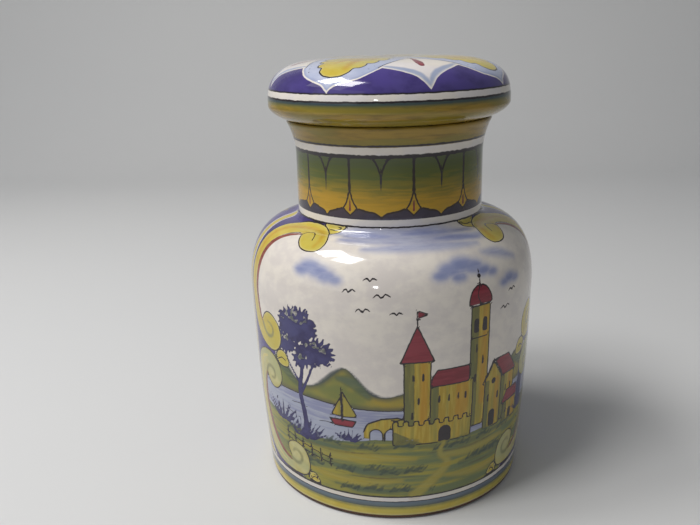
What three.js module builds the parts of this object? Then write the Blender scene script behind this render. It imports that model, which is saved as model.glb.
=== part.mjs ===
// A lidded maiolica jar: a slip-cast earthenware body with a short neck and a flared rim,
// and a hollow domed lid whose flange drops into the mouth.
// Millimetres, +Z up. The origin is the middle of the circle that the foot stands on.

import * as THREE from "three";

// Body of the jar, from the foot up. Radii are to the outside of the glaze.
const footRadius = 63.5;
const footRound = 2;
const footRingWidth = 6.5;
const footRecess = 2.5;
const bellyRadius = 68.1;
const bellyHeight = 97.6;
const shoulderRise = 30.2;
const jarWall = 5;
const floorThickness = 6;
const floorCorner = 11;

// Neck of the jar, from the shoulder up.
const neckRadius = 43.6;
const neckFillet = 3.2;
const neckLength = 28.9;
const rimFlare = 3.8;
const flareRise = 16.8;
const rimRound = 0.9;
const mouthRound = 2.6;

// Lid. Heights are above the face that it rests on.
const lidOverhang = 8;
const lidWidestHeight = 6.2;
const lidHeight = 26.2;
const lidWall = 5.5;
const hollowCorner = 3;
const flangeWall = 4.5;
const flangeDepth = 11;
const flangeRound = 1.6;
const flangeFillet = 1.5;

// Room between the two pieces.
const seatGap = 0.3;
const flangeClearance = 1.1;

// How square the lid's shoulder is: 2 is an ellipse, and more is squarer.
const lidSidePower = 5;
const lidTopPower = 2.8;

// How finely the curves are cut into flats.
const turnSteps = 64;
const sideSteps = 9;
const shoulderSteps = 10;
const flareSteps = 5;
const roundSteps = 3;
const domeSteps = 14;

const shoulderTop = bellyHeight + shoulderRise;
const neckTop = shoulderTop + neckLength;
const rimHeight = neckTop + flareRise;
const rimRadius = neckRadius + rimFlare;
const boreRadius = neckRadius - jarWall;
const floorTop = footRecess + floorThickness;
const lidRadius = rimRadius + lidOverhang;
const lidSeat = rimHeight + seatGap;

const point = (radius, height) => new THREE.Vector2(radius, height);

// Points along a smooth curve from start to end, drawn towards the two points between.
function curve(start, pull, push, end, steps) {
  return new THREE.CubicBezierCurve(start, pull, push, end).getPoints(steps);
}

// Points along a quarter round that leaves start towards corner and comes to end from it.
function quarterRound(start, corner, end) {
  const share = 0.55;
  return curve(
    start,
    start.clone().lerp(corner, share),
    end.clone().lerp(corner, share),
    end,
    roundSteps,
  );
}

// The same outline moved sideways, to the left of the way it is walked.
function beside(outline, distance) {
  return outline.map((at, i) => {
    const before = outline[Math.max(i - 1, 0)];
    const after = outline[Math.min(i + 1, outline.length - 1)];
    const along = after.clone().sub(before).normalize();
    return point(at.x - along.y * distance, at.y + along.x * distance);
  });
}

// The outline without points that repeat the one before.
function cleaned(outline) {
  const closest = 0.02;
  return outline.filter((at, i) => i === 0 || at.distanceTo(outline[i - 1]) > closest);
}

// A solid of revolution about Z from an outline that starts and ends on the axis.
function turned(name, outline, material) {
  const geometry = new THREE.LatheGeometry(cleaned(outline), turnSteps);
  geometry.rotateX(Math.PI / 2);
  const mesh = new THREE.Mesh(geometry, material);
  mesh.name = name;
  return mesh;
}

// The body from the foot to its widest point: nearly straight, and leaning outwards.
function sideOutline() {
  const lean = bellyRadius - footRadius;
  const rise = bellyHeight - footRound;
  return curve(
    point(footRadius, footRound),
    point(footRadius + 0.48 * lean, footRound + 0.3 * rise),
    point(bellyRadius - 0.14 * lean, footRound + 0.5 * rise),
    point(bellyRadius, bellyHeight),
    sideSteps,
  );
}

// The shoulder from the widest point to where the neck springs from it.
function shoulderOutline() {
  const inwards = bellyRadius - neckRadius - neckFillet;
  return curve(
    point(bellyRadius, bellyHeight),
    point(bellyRadius, bellyHeight + 0.54 * shoulderRise),
    point(bellyRadius - 0.26 * inwards, bellyHeight + 0.97 * shoulderRise),
    point(neckRadius + neckFillet, shoulderTop),
    shoulderSteps,
  );
}

// The flare at the top of the neck, up to the rim's rounded edge.
function flareOutline() {
  const rise = flareRise - rimRound;
  return curve(
    point(neckRadius, neckTop),
    point(neckRadius, neckTop + 0.45 * rise),
    point(neckRadius + 0.5 * rimFlare, neckTop + 0.75 * rise),
    point(rimRadius, neckTop + rise),
    flareSteps,
  );
}

// Underneath: a flat ring to stand on, round a shallow recess.
function footOutline() {
  const ringRadius = footRadius - footRound;
  const recessRadius = ringRadius - footRingWidth;
  return [
    point(0, footRecess),
    point(recessRadius - footRecess, footRecess),
    point(recessRadius, 0),
    ...quarterRound(
      point(ringRadius, 0),
      point(footRadius, 0),
      point(footRadius, footRound),
    ),
  ];
}

// The top of the rim, from its outer edge over the face that carries the lid to the bore.
function rimOutline() {
  return [
    ...quarterRound(
      point(rimRadius, rimHeight - rimRound),
      point(rimRadius, rimHeight),
      point(rimRadius - rimRound, rimHeight),
    ),
    ...quarterRound(
      point(boreRadius + mouthRound, rimHeight),
      point(boreRadius, rimHeight),
      point(boreRadius, rimHeight - mouthRound),
    ),
  ];
}

// The inside below the bore: the wall keeps its thickness down to the rounded floor corner.
function wellOutline(body) {
  const cornerTop = floorTop + floorCorner;
  const wall = beside(body, jarWall).filter((at) => at.y > cornerTop && at.x > boreRadius);
  wall.reverse();
  const wallFoot = wall[wall.length - 1].x;
  return [
    ...wall,
    ...quarterRound(
      point(wallFoot, cornerTop),
      point(wallFoot, floorTop),
      point(wallFoot - floorCorner, floorTop),
    ),
    point(0, floorTop),
  ];
}

function makeJar(glaze) {
  const body = cleaned([...sideOutline(), ...shoulderOutline()]);
  const neckSpring = quarterRound(
    point(neckRadius + neckFillet, shoulderTop),
    point(neckRadius, shoulderTop),
    point(neckRadius, shoulderTop + neckFillet),
  );
  const outline = [
    ...footOutline(),
    ...body,
    ...neckSpring,
    ...flareOutline(),
    ...rimOutline(),
    point(boreRadius, shoulderTop),
    ...wellOutline(body),
  ];
  return turned("jar", outline, glaze);
}

// The lid's underside, from the edge of the face that it rests on out to its widest point.
function undersideOutline() {
  return curve(
    point(rimRadius, lidSeat),
    point(rimRadius + 0.85 * lidOverhang, lidSeat + 0.38 * lidWidestHeight),
    point(lidRadius, lidSeat + 0.85 * lidWidestHeight),
    point(lidRadius, lidSeat + lidWidestHeight),
    flareSteps,
  );
}

// The lid's side and top, from its widest point up to its crown: a squared-off ellipse.
function domeOutline() {
  const rise = lidHeight - lidWidestHeight;
  const dome = [];
  for (let i = 0; i <= domeSteps; i++) {
    const turn = (i / domeSteps) * (Math.PI / 2);
    const across = i === domeSteps ? 0 : Math.cos(turn) ** (2 / lidSidePower);
    const up = Math.sin(turn) ** (2 / lidTopPower);
    dome.push(point(lidRadius * across, lidSeat + lidWidestHeight + rise * up));
  }
  return dome;
}

// The lid's inside, from under the crown down to its rounded corner and the top of the flange.
function hollowOutline(dome) {
  const floor = lidSeat + lidWall;
  const cornerTop = floor + hollowCorner;
  const wall = beside(dome, lidWall).filter((at) => at.y > cornerTop && at.x > 0);
  wall.reverse();
  const wallFoot = wall[wall.length - 1].x;
  return [
    point(0, lidSeat + lidHeight - lidWall),
    ...wall,
    ...quarterRound(
      point(wallFoot, cornerTop),
      point(wallFoot, floor),
      point(wallFoot - hollowCorner, floor),
    ),
  ];
}

// The flange that drops into the mouth, from the lid's hollow down and back up to the seat.
function flangeOutline() {
  const outer = boreRadius - flangeClearance;
  const inner = outer - flangeWall;
  const foot = lidSeat - flangeDepth;
  const hollowFloor = lidSeat + lidWall;
  return [
    ...quarterRound(
      point(inner + flangeFillet, hollowFloor),
      point(inner, hollowFloor),
      point(inner, hollowFloor - flangeFillet),
    ),
    ...quarterRound(
      point(inner, foot + flangeRound),
      point(inner, foot),
      point(inner + flangeRound, foot),
    ),
    ...quarterRound(
      point(outer - flangeRound, foot),
      point(outer, foot),
      point(outer, foot + flangeRound),
    ),
    point(outer, lidSeat),
  ];
}

function makeLid(glaze) {
  const dome = domeOutline();
  const outline = [
    ...hollowOutline(dome),
    ...flangeOutline(),
    ...undersideOutline(),
    ...dome,
  ];
  return turned("lid", outline, glaze);
}

const jarGlaze = new THREE.MeshStandardMaterial({
  color: 0xd9d2c4,
  roughness: 0.16,
  metalness: 0,
});
const lidGlaze = new THREE.MeshStandardMaterial({
  color: 0x4a3f86,
  roughness: 0.16,
  metalness: 0,
});

const urn = new THREE.Group();
urn.add(makeJar(jarGlaze), makeLid(lidGlaze));

export default urn;
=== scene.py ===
# %% [markdown]
# # A painted maiolica jar with a lid
# The object is a tin-glazed earthenware jar, slip-cast and then painted by hand before its last
# firing, with a hollow lid that rests on its rim. The two turned solids come from the frame. What
# makes the jar is the paint, so most of this lesson is about brushwork: how strokes can be laid on
# a turned surface so that their edges stay crisp, and how a glossy white glaze carries them.

# %% Load the frame
import math
import random

import bpy
import numpy as np
from mathutils import Matrix, Vector


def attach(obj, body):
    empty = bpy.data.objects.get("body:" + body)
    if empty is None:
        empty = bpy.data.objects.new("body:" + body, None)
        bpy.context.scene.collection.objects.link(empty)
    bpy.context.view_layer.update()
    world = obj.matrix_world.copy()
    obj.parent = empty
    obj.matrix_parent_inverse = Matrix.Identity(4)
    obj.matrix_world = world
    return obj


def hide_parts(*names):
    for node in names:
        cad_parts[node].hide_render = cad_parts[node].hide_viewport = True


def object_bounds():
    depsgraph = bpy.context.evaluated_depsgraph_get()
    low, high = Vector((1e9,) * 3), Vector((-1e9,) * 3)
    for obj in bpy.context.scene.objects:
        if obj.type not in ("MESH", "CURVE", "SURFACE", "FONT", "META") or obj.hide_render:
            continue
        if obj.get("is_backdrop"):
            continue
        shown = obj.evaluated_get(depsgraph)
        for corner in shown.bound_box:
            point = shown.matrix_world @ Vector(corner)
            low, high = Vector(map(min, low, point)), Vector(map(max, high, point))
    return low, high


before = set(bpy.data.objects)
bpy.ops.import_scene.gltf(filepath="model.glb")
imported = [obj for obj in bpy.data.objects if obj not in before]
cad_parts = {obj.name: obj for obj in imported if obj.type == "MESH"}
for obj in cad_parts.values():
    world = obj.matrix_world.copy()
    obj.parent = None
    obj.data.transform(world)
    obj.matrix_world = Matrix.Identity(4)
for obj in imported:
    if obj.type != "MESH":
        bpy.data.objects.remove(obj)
cad_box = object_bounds()
MM = 0.001
print("nodes:", sorted(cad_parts), "box:", [list(corner) for corner in cad_box])

# %% [markdown]
# ## Camera
# The jar was photographed from a little above its lid, from close by. Its rings are ellipses that
# flatten towards eye level, so they give the height and the tilt. A camera helper could aim at the
# jar, but the picture leans by a degree and a half, so the three turns are set one by one instead.

# %% Camera
CAMERA_PLACE = (0.0, -349.0, 210.4)
TILT_DOWN = 17.22
TURN_LEFT = 3.25
LEAN = 1.62
FOCAL_PIXELS = 740
PICTURE_WIDTH = 700

tilt, heading, lean = (math.radians(value) for value in (TILT_DOWN, TURN_LEFT, LEAN))
forward = Vector((
    -math.sin(heading) * math.cos(tilt),
    math.cos(heading) * math.cos(tilt),
    -math.sin(tilt),
))
level = Vector((math.cos(heading), math.sin(heading), 0))
upward = level.cross(forward)
right = math.cos(lean) * level - math.sin(lean) * upward
up = math.sin(lean) * level + math.cos(lean) * upward

lens = bpy.data.cameras.new("camera")
lens.sensor_fit = "HORIZONTAL"
lens.sensor_width = 36
lens.lens = FOCAL_PIXELS / PICTURE_WIDTH * lens.sensor_width
lens.clip_start = 0.01
camera = bpy.data.objects.new("camera", lens)
bpy.context.collection.objects.link(camera)
turn = Matrix((right, up, -forward)).transposed().to_4x4()
camera.matrix_world = Matrix.Translation(Vector(CAMERA_PLACE) * MM) @ turn
bpy.context.scene.camera = camera
print("lens:", round(lens.lens, 2), "mm")

# %% [markdown]
# ## Floor, backdrop and light
# A glaze is judged by what it reflects. The jar stood near a window high on its left, which puts
# two bright panes on the shoulder and on the lid, and the light falls off to the right. One large
# lamp would light the jar as well, but the glaze would mirror it as one blur. So two small area
# lamps side by side stand for the panes, a wide weak one behind them for the glow round the window,
# another for the room in front, and a tiny one for a far lamp that glints on the belly. A pale
# world keeps the shadows open, and the floor sweeps up behind the jar in one curve.

# %% Floor that sweeps up into a backdrop
FLOOR_WIDTH = 2.6
FLOOR_FRONT = -1.2
FLOOR_BACK = 0.75
SWEEP_RADIUS = 0.35
SWEEP_STEPS = 12
WALL_HEIGHT = 1.6


def only(thing):
    """Makes one object the active and only selected one, in object mode."""
    if bpy.context.object and bpy.context.object.mode != "OBJECT":
        bpy.ops.object.mode_set(mode="OBJECT")
    bpy.ops.object.select_all(action="DESELECT")
    thing.select_set(True)
    bpy.context.view_layer.objects.active = thing


def wire(name, points):
    """An object with one wire through the points, drawn as by hand: a vertex, then E again and again."""
    bpy.ops.object.select_all(action="DESELECT")
    bpy.ops.mesh.primitive_plane_add(size=MM, location=(0, 0, 0))
    made = bpy.context.object
    made.name = name
    made.data.name = name
    bpy.ops.object.mode_set(mode="EDIT")
    bpy.ops.mesh.select_all(action="SELECT")
    bpy.ops.mesh.merge(type="CENTER")
    bpy.ops.transform.translate(value=points[0])
    for here, there in zip(points, points[1:]):
        step = tuple(b - a for a, b in zip(here, there))
        bpy.ops.mesh.extrude_region_move(TRANSFORM_OT_translate={"value": step})
    return made


sweep = [(-FLOOR_WIDTH / 2, FLOOR_FRONT, 0)]
for i in range(SWEEP_STEPS + 1):
    angle = i / SWEEP_STEPS * math.pi / 2
    sweep.append((
        -FLOOR_WIDTH / 2,
        FLOOR_BACK + SWEEP_RADIUS * math.sin(angle),
        SWEEP_RADIUS * (1 - math.cos(angle)),
    ))
sweep.append((-FLOOR_WIDTH / 2, FLOOR_BACK + SWEEP_RADIUS, WALL_HEIGHT))
floor = wire("floor", sweep)
bpy.ops.mesh.select_all(action="SELECT")
bpy.ops.mesh.extrude_region_move(TRANSFORM_OT_translate={"value": (FLOOR_WIDTH, 0, 0)})
bpy.ops.object.mode_set(mode="OBJECT")
bpy.ops.object.shade_smooth()
floor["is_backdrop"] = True
print("floor:", len(floor.data.polygons), "faces")


# %% Lamps and world
def lamp(name, place, aim, size, watts, colour=(1, 1, 1)):
    """An area lamp of so many metres by so many, looking at a point."""
    data = bpy.data.lights.new(name, "AREA")
    data.shape = "RECTANGLE"
    data.size, data.size_y = size
    data.energy = watts
    data.color = colour
    made = bpy.data.objects.new(name, data)
    bpy.context.collection.objects.link(made)
    made.location = place
    made.rotation_euler = (Vector(aim) - Vector(place)).to_track_quat("-Z", "Y").to_euler()
    return made


JAR_MIDDLE = (0, 0, 0.11)
PANE_SIZE = (0.3, 0.34)
PANE_WATTS = 5.5
PANE_COLOUR = (1.0, 0.98, 0.96)
PANE_PLACES = ((-0.58, -0.02, 1.1), (-0.48, -0.35, 1.08))
SOFT_LAMPS = (
    ("window_glow", (-0.72, -0.24, 1.2), (0.9, 0.8), 3.0),
    ("room", (-1.15, -0.95, 0.7), (1.4, 1.0), 2.0),
    ("far_lamp", (-0.24, -1.25, 0.42), (0.05, 0.03), 0.5),
)
WORLD_COLOUR = (0.93, 0.96, 1.0, 1)
WORLD_STRENGTH = 0.21
for number, place in enumerate(PANE_PLACES):
    lamp(f"window_pane_{number + 1}", place, JAR_MIDDLE, PANE_SIZE, PANE_WATTS, PANE_COLOUR)
for name, place, lamp_size, watts in SOFT_LAMPS:
    lamp(name, place, JAR_MIDDLE, lamp_size, watts)

world = bpy.data.worlds.new("room light")
bpy.context.scene.world = world
world.use_nodes = True
background = world.node_tree.nodes["Background"]
background.inputs["Color"].default_value = WORLD_COLOUR
background.inputs["Strength"].default_value = WORLD_STRENGTH
bpy.context.scene.view_settings.view_transform = "Standard"

# %% [markdown]
# ## The turned surfaces
# Each piece is a solid of revolution, and its CAD node already has the true outline, cut into
# flats. A subdivision modifier could smooth it, but it would pull the outline in. Here the outline
# is read from the node, the flats are rounded into the curve that they stand for, and the wire is
# spun again in fine steps. Fine steps matter for the paint: a brush edge is later interpolated
# between vertices that lie about a millimetre apart. Where no fine line is drawn, on the foot, on
# the flare and inside, the steps are longer.

# %% Read a node's outline
ON_PLANE = 0.01


def outline_of(node, highest_first):
    """The outline of a turned node as (radius, height) in mm, from one end on the axis to the other."""
    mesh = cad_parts[node].data
    places = [tuple(round(value / MM, 2) for value in vertex.co) for vertex in mesh.vertices]
    beside = {}
    for face in mesh.polygons:
        corners = [places[i] for i in face.vertices]
        flat = [(x, y, z) for x, y, z in corners if abs(y) < ON_PLANE and x > -ON_PLANE]
        if len(set(flat)) == 2:
            first, second = set((x, z) for x, y, z in flat)
            beside.setdefault(first, set()).add(second)
            beside.setdefault(second, set()).add(first)
    ends = sorted((point for point in beside if point[0] == 0), key=lambda point: point[1])
    walk = [ends[-1] if highest_first else ends[0]]
    while True:
        onward = [point for point in beside[walk[-1]] if point not in walk]
        if not onward:
            return walk
        walk.append(onward[0])


jar_outline = outline_of("jar", highest_first=False)
lid_outline = outline_of("lid", highest_first=True)
print("outline points:", len(jar_outline), len(lid_outline))

# %% Round the flats
CORNER = math.radians(40)
LONG_SHARE = 3


def rounded(outline, steps):
    """Points along a smooth curve through an outline. A corner and a long straight stay as they are."""
    at = np.array(outline, float)
    run = np.diff(at, axis=0)
    length = np.hypot(*run.T)
    way = run / length[:, None]
    leave, arrive = way.copy(), way.copy()
    for i in range(1, len(way)):
        before, after = length[i - 1], length[i]
        bend = math.acos(np.clip(way[i - 1] @ way[i], -1, 1))
        if bend > CORNER:
            continue
        if after > LONG_SHARE * before:
            tangent = way[i]
        elif before > LONG_SHARE * after:
            tangent = way[i - 1]
        else:
            tangent = way[i - 1] * after + way[i] * before
        tangent = tangent / np.linalg.norm(tangent)
        leave[i] = tangent
        arrive[i - 1] = tangent
    points = [at[0]]
    for i in range(len(way)):
        count = max(1, math.ceil(length[i] / steps(i)))
        for k in range(1, count + 1):
            t = k / count
            points.append(
                (1 + 2 * t) * (1 - t) ** 2 * at[i]
                + t * t * (3 - 2 * t) * at[i + 1]
                + length[i] * (t * (1 - t) ** 2 * leave[i] - t * t * (1 - t) * arrive[i])
            )
    return np.array(points)


def first_point(outline, height, least_radius=0):
    """Which point of an outline is the first at a height, outside a radius."""
    return next(i for i, point in enumerate(outline) if point[1] == height and point[0] > least_radius)


FINE = 1.0
FINE_LID = 0.75
PLAIN = 2.0
COARSE = 8.0
FOOT_RECESS = 55
NEAR_RIM = 47
DRAWN_LOW = 10
DRAWN_HIGH = 162
jar_top = max(height for radius, height in jar_outline)
foot_start = first_point(jar_outline, 0, FOOT_RECESS)
rim_end = first_point(jar_outline, jar_top) + 1
seat_height = min(height for radius, height in lid_outline if radius > NEAR_RIM)
lid_edge = first_point(lid_outline, seat_height, NEAR_RIM)


def jar_step(i):
    """How long the steps are from one outline point: short where the drawing is fine."""
    if not foot_start <= i < rim_end:
        return COARSE
    return FINE if DRAWN_LOW < jar_outline[i + 1][1] and jar_outline[i][1] < DRAWN_HIGH else PLAIN


jar_curve = rounded(jar_outline, jar_step)
lid_curve = rounded(lid_outline, lambda i: FINE_LID if i < lid_edge else COARSE)
print("curve points:", len(jar_curve), len(lid_curve))

# %% [markdown]
# The spin operator could turn the wire in edit mode, but it slows down with every step that it adds.
# A Screw modifier without any rise does the same lathe work at once. The picture side of the jar
# gets finer steps than its back, so that the mesh stays light enough to hand on. Angles are counted
# in degrees from the side that faces the camera, with positive ones to the right.

# %% Turn the wires
START = -98
JAR_ARCS = ((211, 272), (149, 118))
LID_ARCS = ((180, 200), (180, 200))
DOUBLES = 0.01 * MM


def turned_arc(name, curve, start, degrees, steps):
    """The outline drawn as a wire at one angle and turned through an arc."""
    sideways, inwards = math.sin(math.radians(start)), -math.cos(math.radians(start))
    made = wire(name, [(r * sideways * MM, r * inwards * MM, z * MM) for r, z in curve])
    bpy.ops.object.mode_set(mode="OBJECT")
    bpy.ops.object.modifier_add(type="SCREW")
    lathe = made.modifiers[-1]
    lathe.axis = "Z"
    lathe.angle = math.radians(degrees)
    lathe.steps = lathe.render_steps = steps
    bpy.ops.object.modifier_apply(modifier=lathe.name)
    return made


def turned(name, curve, arcs):
    """A closed turned piece, joined from arcs that are stepped more or less finely."""
    start = START
    parts = []
    for degrees, steps in arcs:
        parts.append(turned_arc(name, curve, start, degrees, steps))
        start += degrees
    only(parts[0])
    for part in parts[1:]:
        part.select_set(True)
    bpy.ops.object.join()
    made = parts[0]
    made.name = made.data.name = name
    bpy.ops.object.mode_set(mode="EDIT")
    bpy.ops.mesh.select_all(action="SELECT")
    bpy.ops.mesh.remove_doubles(threshold=DOUBLES)
    bpy.ops.mesh.normals_make_consistent(inside=False)
    bpy.ops.object.mode_set(mode="OBJECT")
    bpy.ops.object.shade_smooth_by_angle(angle=CORNER)
    made.data.calc_loop_triangles()
    print(name, "vertices:", len(made.data.vertices), "triangles:", len(made.data.loop_triangles))
    return made


jar = turned("painted_jar", jar_curve, JAR_ARCS)
lid = turned("painted_lid", lid_curve, LID_ARCS)

# %% [markdown]
# ## A canvas on a turned surface
# On the real jar a painter lays down strokes of metal oxide colour on raw white glaze, and the
# firing sinks them in, so that their edges stay sharp but not razor-sharp. An image would do this
# in one go, but it would blur up close. Here each paint is a field: every vertex keeps its distance
# in mm to the nearest edge of that paint, less than zero inside. Distances change evenly across a
# face, so the zero line between vertices is as crisp as drawn. Thin lines keep the distance to
# their left or right side instead, which crosses zero in the middle of the line.

# %% Where each vertex is
FAR = 6.0
BLOCK = 4000


def flattened(piece, curve, first):
    """Each vertex's angle in degrees, and its way along the curve, radius and height in mm."""
    count = len(piece.data.vertices)
    place = np.empty(count * 3)
    piece.data.vertices.foreach_get("co", place)
    place = place.reshape(-1, 3) / MM
    radius = np.hypot(place[:, 0], place[:, 1])
    angle = np.degrees(np.arctan2(place[:, 0], -place[:, 1]))
    along = np.r_[0, np.cumsum(np.hypot(*np.diff(curve, axis=0).T))]
    nearest = np.empty(count, int)
    for block in np.array_split(np.arange(count), max(1, count // BLOCK)):
        gap = (radius[block, None] - curve[:, 0]) ** 2 + (place[block, 2:3] - curve[:, 1]) ** 2
        nearest[block] = gap.argmin(axis=1)
    start = along[np.hypot(*(curve - np.array(first)).T).argmin()]
    return angle, along[nearest] - start, radius, place[:, 2]


jar_angle, jar_climb, jar_radius, _ = flattened(jar, jar_curve, jar_outline[foot_start])
lid_angle, lid_reach, lid_radius, lid_z = flattened(lid, lid_curve, lid_outline[0])
print("jar climb:", jar_climb.min().round(1), "to", jar_climb.max().round(1))
print("lid reach:", lid_reach.max().round(1))

# %% The canvas and its brushes
INK_WIDTH = 0.6
INK_REACH = 0.85
INK_SPREAD = 2.5
UNTOUCHED = 1e9
TINY = 1e-9
SAME = 1e-6


class Canvas:
    """Paints on one piece, from the lowest to the one on top, and the ink lines over them all."""

    def __init__(self, across, along, stretch, turn, level, paints):
        self.across = across
        self.along = along
        self.stretch = stretch
        self.turn = turn
        self.level = level
        self.paints = paints
        self.edge = {paint: np.full(len(across), FAR) for paint in paints}
        self.ink_side = np.full(len(across), FAR)
        self.ink_gap = np.full(len(across), FAR)

    def step(self, point, at):
        """How far a point lies from some vertices, in mm across and mm along."""
        across = point[0] - self.across[at]
        if self.turn:
            across = (across + self.turn / 2) % self.turn - self.turn / 2
        return across * self.stretch[at], point[1] - self.along[at]

    def near(self, points, reach):
        """The vertices within reach of the box round some points."""
        spots = np.array(points, float)
        low, high = spots.min(axis=0), spots.max(axis=0)
        middle, half = (low[0] + high[0]) / 2, (high[0] - low[0]) / 2
        across = np.abs(middle - self.across)
        if self.turn:
            across = np.minimum(across % self.turn, self.turn - across % self.turn)
        wide = (across - half) * self.stretch < reach
        tall = (self.along > low[1] - reach) & (self.along < high[1] + reach)
        return np.flatnonzero(wide & tall)

    def gaps(self, points, at, widths=None):
        """Distance from some vertices to a line less its half width there, and on which side they lie."""
        best = np.full(len(at), UNTOUCHED)
        side = np.zeros(len(at))
        for i in range(len(points) - 1):
            ax, ay = self.step(points[i], at)
            bx, by = self.step(points[i + 1], at)
            dx, dy = bx - ax, by - ay
            size = np.maximum(dx * dx + dy * dy, TINY)
            t = np.clip(-(ax * dx + ay * dy) / size, 0, 1)
            gap = np.hypot(ax + t * dx, ay + t * dy)
            if widths is not None:
                gap = gap - (widths[i] + t * (widths[i + 1] - widths[i]))
            away = (dx * -ay + dy * ax) / np.sqrt(size)
            closer = (gap < best - SAME) | ((gap < best + SAME) & (np.abs(away) > np.abs(side)))
            best = np.where(closer, gap, best)
            side = np.where(closer, away, side)
        return best, side

    def lay(self, paint, at, gap):
        """Adds an area of one paint, which hides the paints and the ink that were over it."""
        field = self.edge[paint]
        field[at] = np.minimum(field[at], gap)
        for above in self.paints[self.paints.index(paint) + 1:]:
            self.edge[above][at] = np.maximum(self.edge[above][at], -gap)
        self.ink_gap[at] = np.maximum(self.ink_gap[at], INK_REACH - gap)

    def signed(self, points, at):
        """The distance from some vertices to a closed outline, less than zero inside it."""
        ring = list(points) + [points[0]]
        gap, _ = self.gaps(ring, at)
        inside = np.zeros(len(at), bool)
        for start, end in zip(ring, ring[1:]):
            ax, ay = self.step(start, at)
            bx, by = self.step(end, at)
            crosses = (ay > 0) != (by > 0)
            with np.errstate(divide="ignore", invalid="ignore"):
                where = ax - ay * (bx - ax) / (by - ay)
            inside ^= crosses & (where > 0)
        return np.where(inside, -gap, gap)

    def area(self, points, reach=FAR):
        """The vertices near a closed outline, and their distance to it."""
        at = self.near(points, reach)
        return at, self.signed(points, at)

    def fill(self, paint, points, inset=0.0):
        """An area with a closed outline, or one that stays some mm inside it."""
        at, gap = self.area(points)
        self.lay(paint, at, gap + inset)

    def keep_within(self, paint, points, inset=0.0):
        """Wipes off what one paint spilled over a closed outline, close to it."""
        at, gap = self.area(points)
        self.edge[paint][at] = np.maximum(self.edge[paint][at], gap + inset)

    def wipe(self, paint, points):
        """Takes one paint off an area."""
        at, gap = self.area(points)
        self.edge[paint][at] = np.maximum(self.edge[paint][at], -gap)

    def stroke(self, paint, points, widths, reach=3.0, within=None, inset=0.0):
        """A brush stroke with a half width at each point, which may stay inside an outline."""
        at = self.near(points, reach + max(widths))
        gap, _ = self.gaps(points, at, widths)
        if within is not None:
            gap = np.maximum(gap, self.signed(within, at) + inset)
        self.lay(paint, at, gap)

    def ink(self, points, width=0.55):
        """A thin line, drawn with the tip of the brush."""
        at = self.near(points, INK_SPREAD)
        gap, side = self.gaps(points, at)
        nearer = gap < self.ink_gap[at]
        chosen = at[nearer]
        self.ink_gap[chosen] = gap[nearer]
        signed = np.where(side[nearer] < 0, -gap[nearer], gap[nearer])
        self.ink_side[chosen] = signed * (INK_WIDTH / width)

    def outlined(self, paint, points, width=0.55):
        """An area with an ink line round it."""
        self.fill(paint, points)
        self.ink(list(points) + [points[0]], width)

    def band(self, paint, low, high):
        """A band all the way round, laid while the piece turns on the wheel."""
        gap = np.maximum(low - self.level, self.level - high)
        at = np.flatnonzero(gap < FAR)
        self.lay(paint, at, gap[at])

    def ring(self, level, width=0.55):
        """An ink line all the way round."""
        away = self.level - level
        at = np.flatnonzero(np.abs(away) < INK_SPREAD)
        chosen = at[np.abs(away[at]) < self.ink_gap[at]]
        self.ink_gap[chosen] = np.abs(away[chosen])
        self.ink_side[chosen] = away[chosen] * (INK_WIDTH / width)


def flow(points, closed=False, parts=5):
    """A smooth line through the points, like a brush that doesn't stop at them."""
    knots = [np.array(point, float) for point in points]
    if closed:
        knots = [knots[-1]] + knots + knots[:2]
    else:
        knots = [2 * knots[0] - knots[1]] + knots + [2 * knots[-1] - knots[-2]]
    line = []
    for a, b, c, d in zip(knots, knots[1:], knots[2:], knots[3:]):
        for k in range(parts):
            t = k / parts
            line.append(tuple(0.5 * (
                2 * b + (c - a) * t + (2 * a - 5 * b + 4 * c - d) * t * t
                + (3 * b - 3 * c + d - a) * t ** 3
            )))
    if not closed:
        line.append(tuple(knots[-2]))
    return line


def half_round(centre, half_width, height, parts):
    """The upper half of an oval, from its right end to its left."""
    turns = [k / parts * math.pi for k in range(parts + 1)]
    return [(centre[0] + half_width * math.cos(a), centre[1] + height * math.sin(a)) for a in turns]


def tapering(line, start, end):
    """Half widths that go evenly from one value to another along a line."""
    return [start + (end - start) * i / len(line) for i in range(len(line))]


def oval(centre, half_width, half_height, tilt=0, parts=20):
    """A tilted oval in mm."""
    lean = math.radians(tilt)
    ring = []
    for k in range(parts):
        angle = k / parts * 2 * math.pi
        x, y = half_width * math.cos(angle), half_height * math.sin(angle)
        ring.append((
            centre[0] + x * math.cos(lean) - y * math.sin(lean),
            centre[1] + x * math.sin(lean) + y * math.cos(lean),
        ))
    return ring


JAR_PAINTS = [
    "violet", "night", "white", "sky", "cloud", "hill", "ridge", "water", "meadow", "hay", "moss",
    "tuft", "umber", "wall", "glow", "shade", "leaf", "petal", "straw", "yellow", "olive", "amber",
    "russet", "maroon", "ochre", "slate", "sea", "clay", "dark",
]
per_degree = jar_radius * math.pi / 180
board = Canvas(jar_angle, jar_climb, per_degree, 360, jar_climb, JAR_PAINTS)
print("canvas paints:", len(JAR_PAINTS), "and ink, on", len(jar_angle), "vertices")

# %% [markdown]
# ## The picture's place
# The white panel between the scrolls holds a small landscape. It could be stamped from one drawing,
# but brushwork has no repeats, so each wall, tree and bird is laid down by itself, the far things
# first, as a painter does. This one is made up: a lake with a boat and a bridge under round hills,
# an old tree at the left and a walled town with a dome at the right. It is drawn in mm to the right
# of the middle line and mm up the wall.

# %% Panel and sky
PICTURE_MIDDLE = 7.0
FRAME_MIDDLE_LOW = 5.3
FRAME_MIDDLE_LEAN = 0.024
RAISED = 4.6
DRAWN_ASIDE = 6
BODY_TOP = 145.4
WIDEST = jar_radius.max() * math.pi / 180
dice = random.Random(7)
board.band("violet", 0, BODY_TOP)


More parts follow.
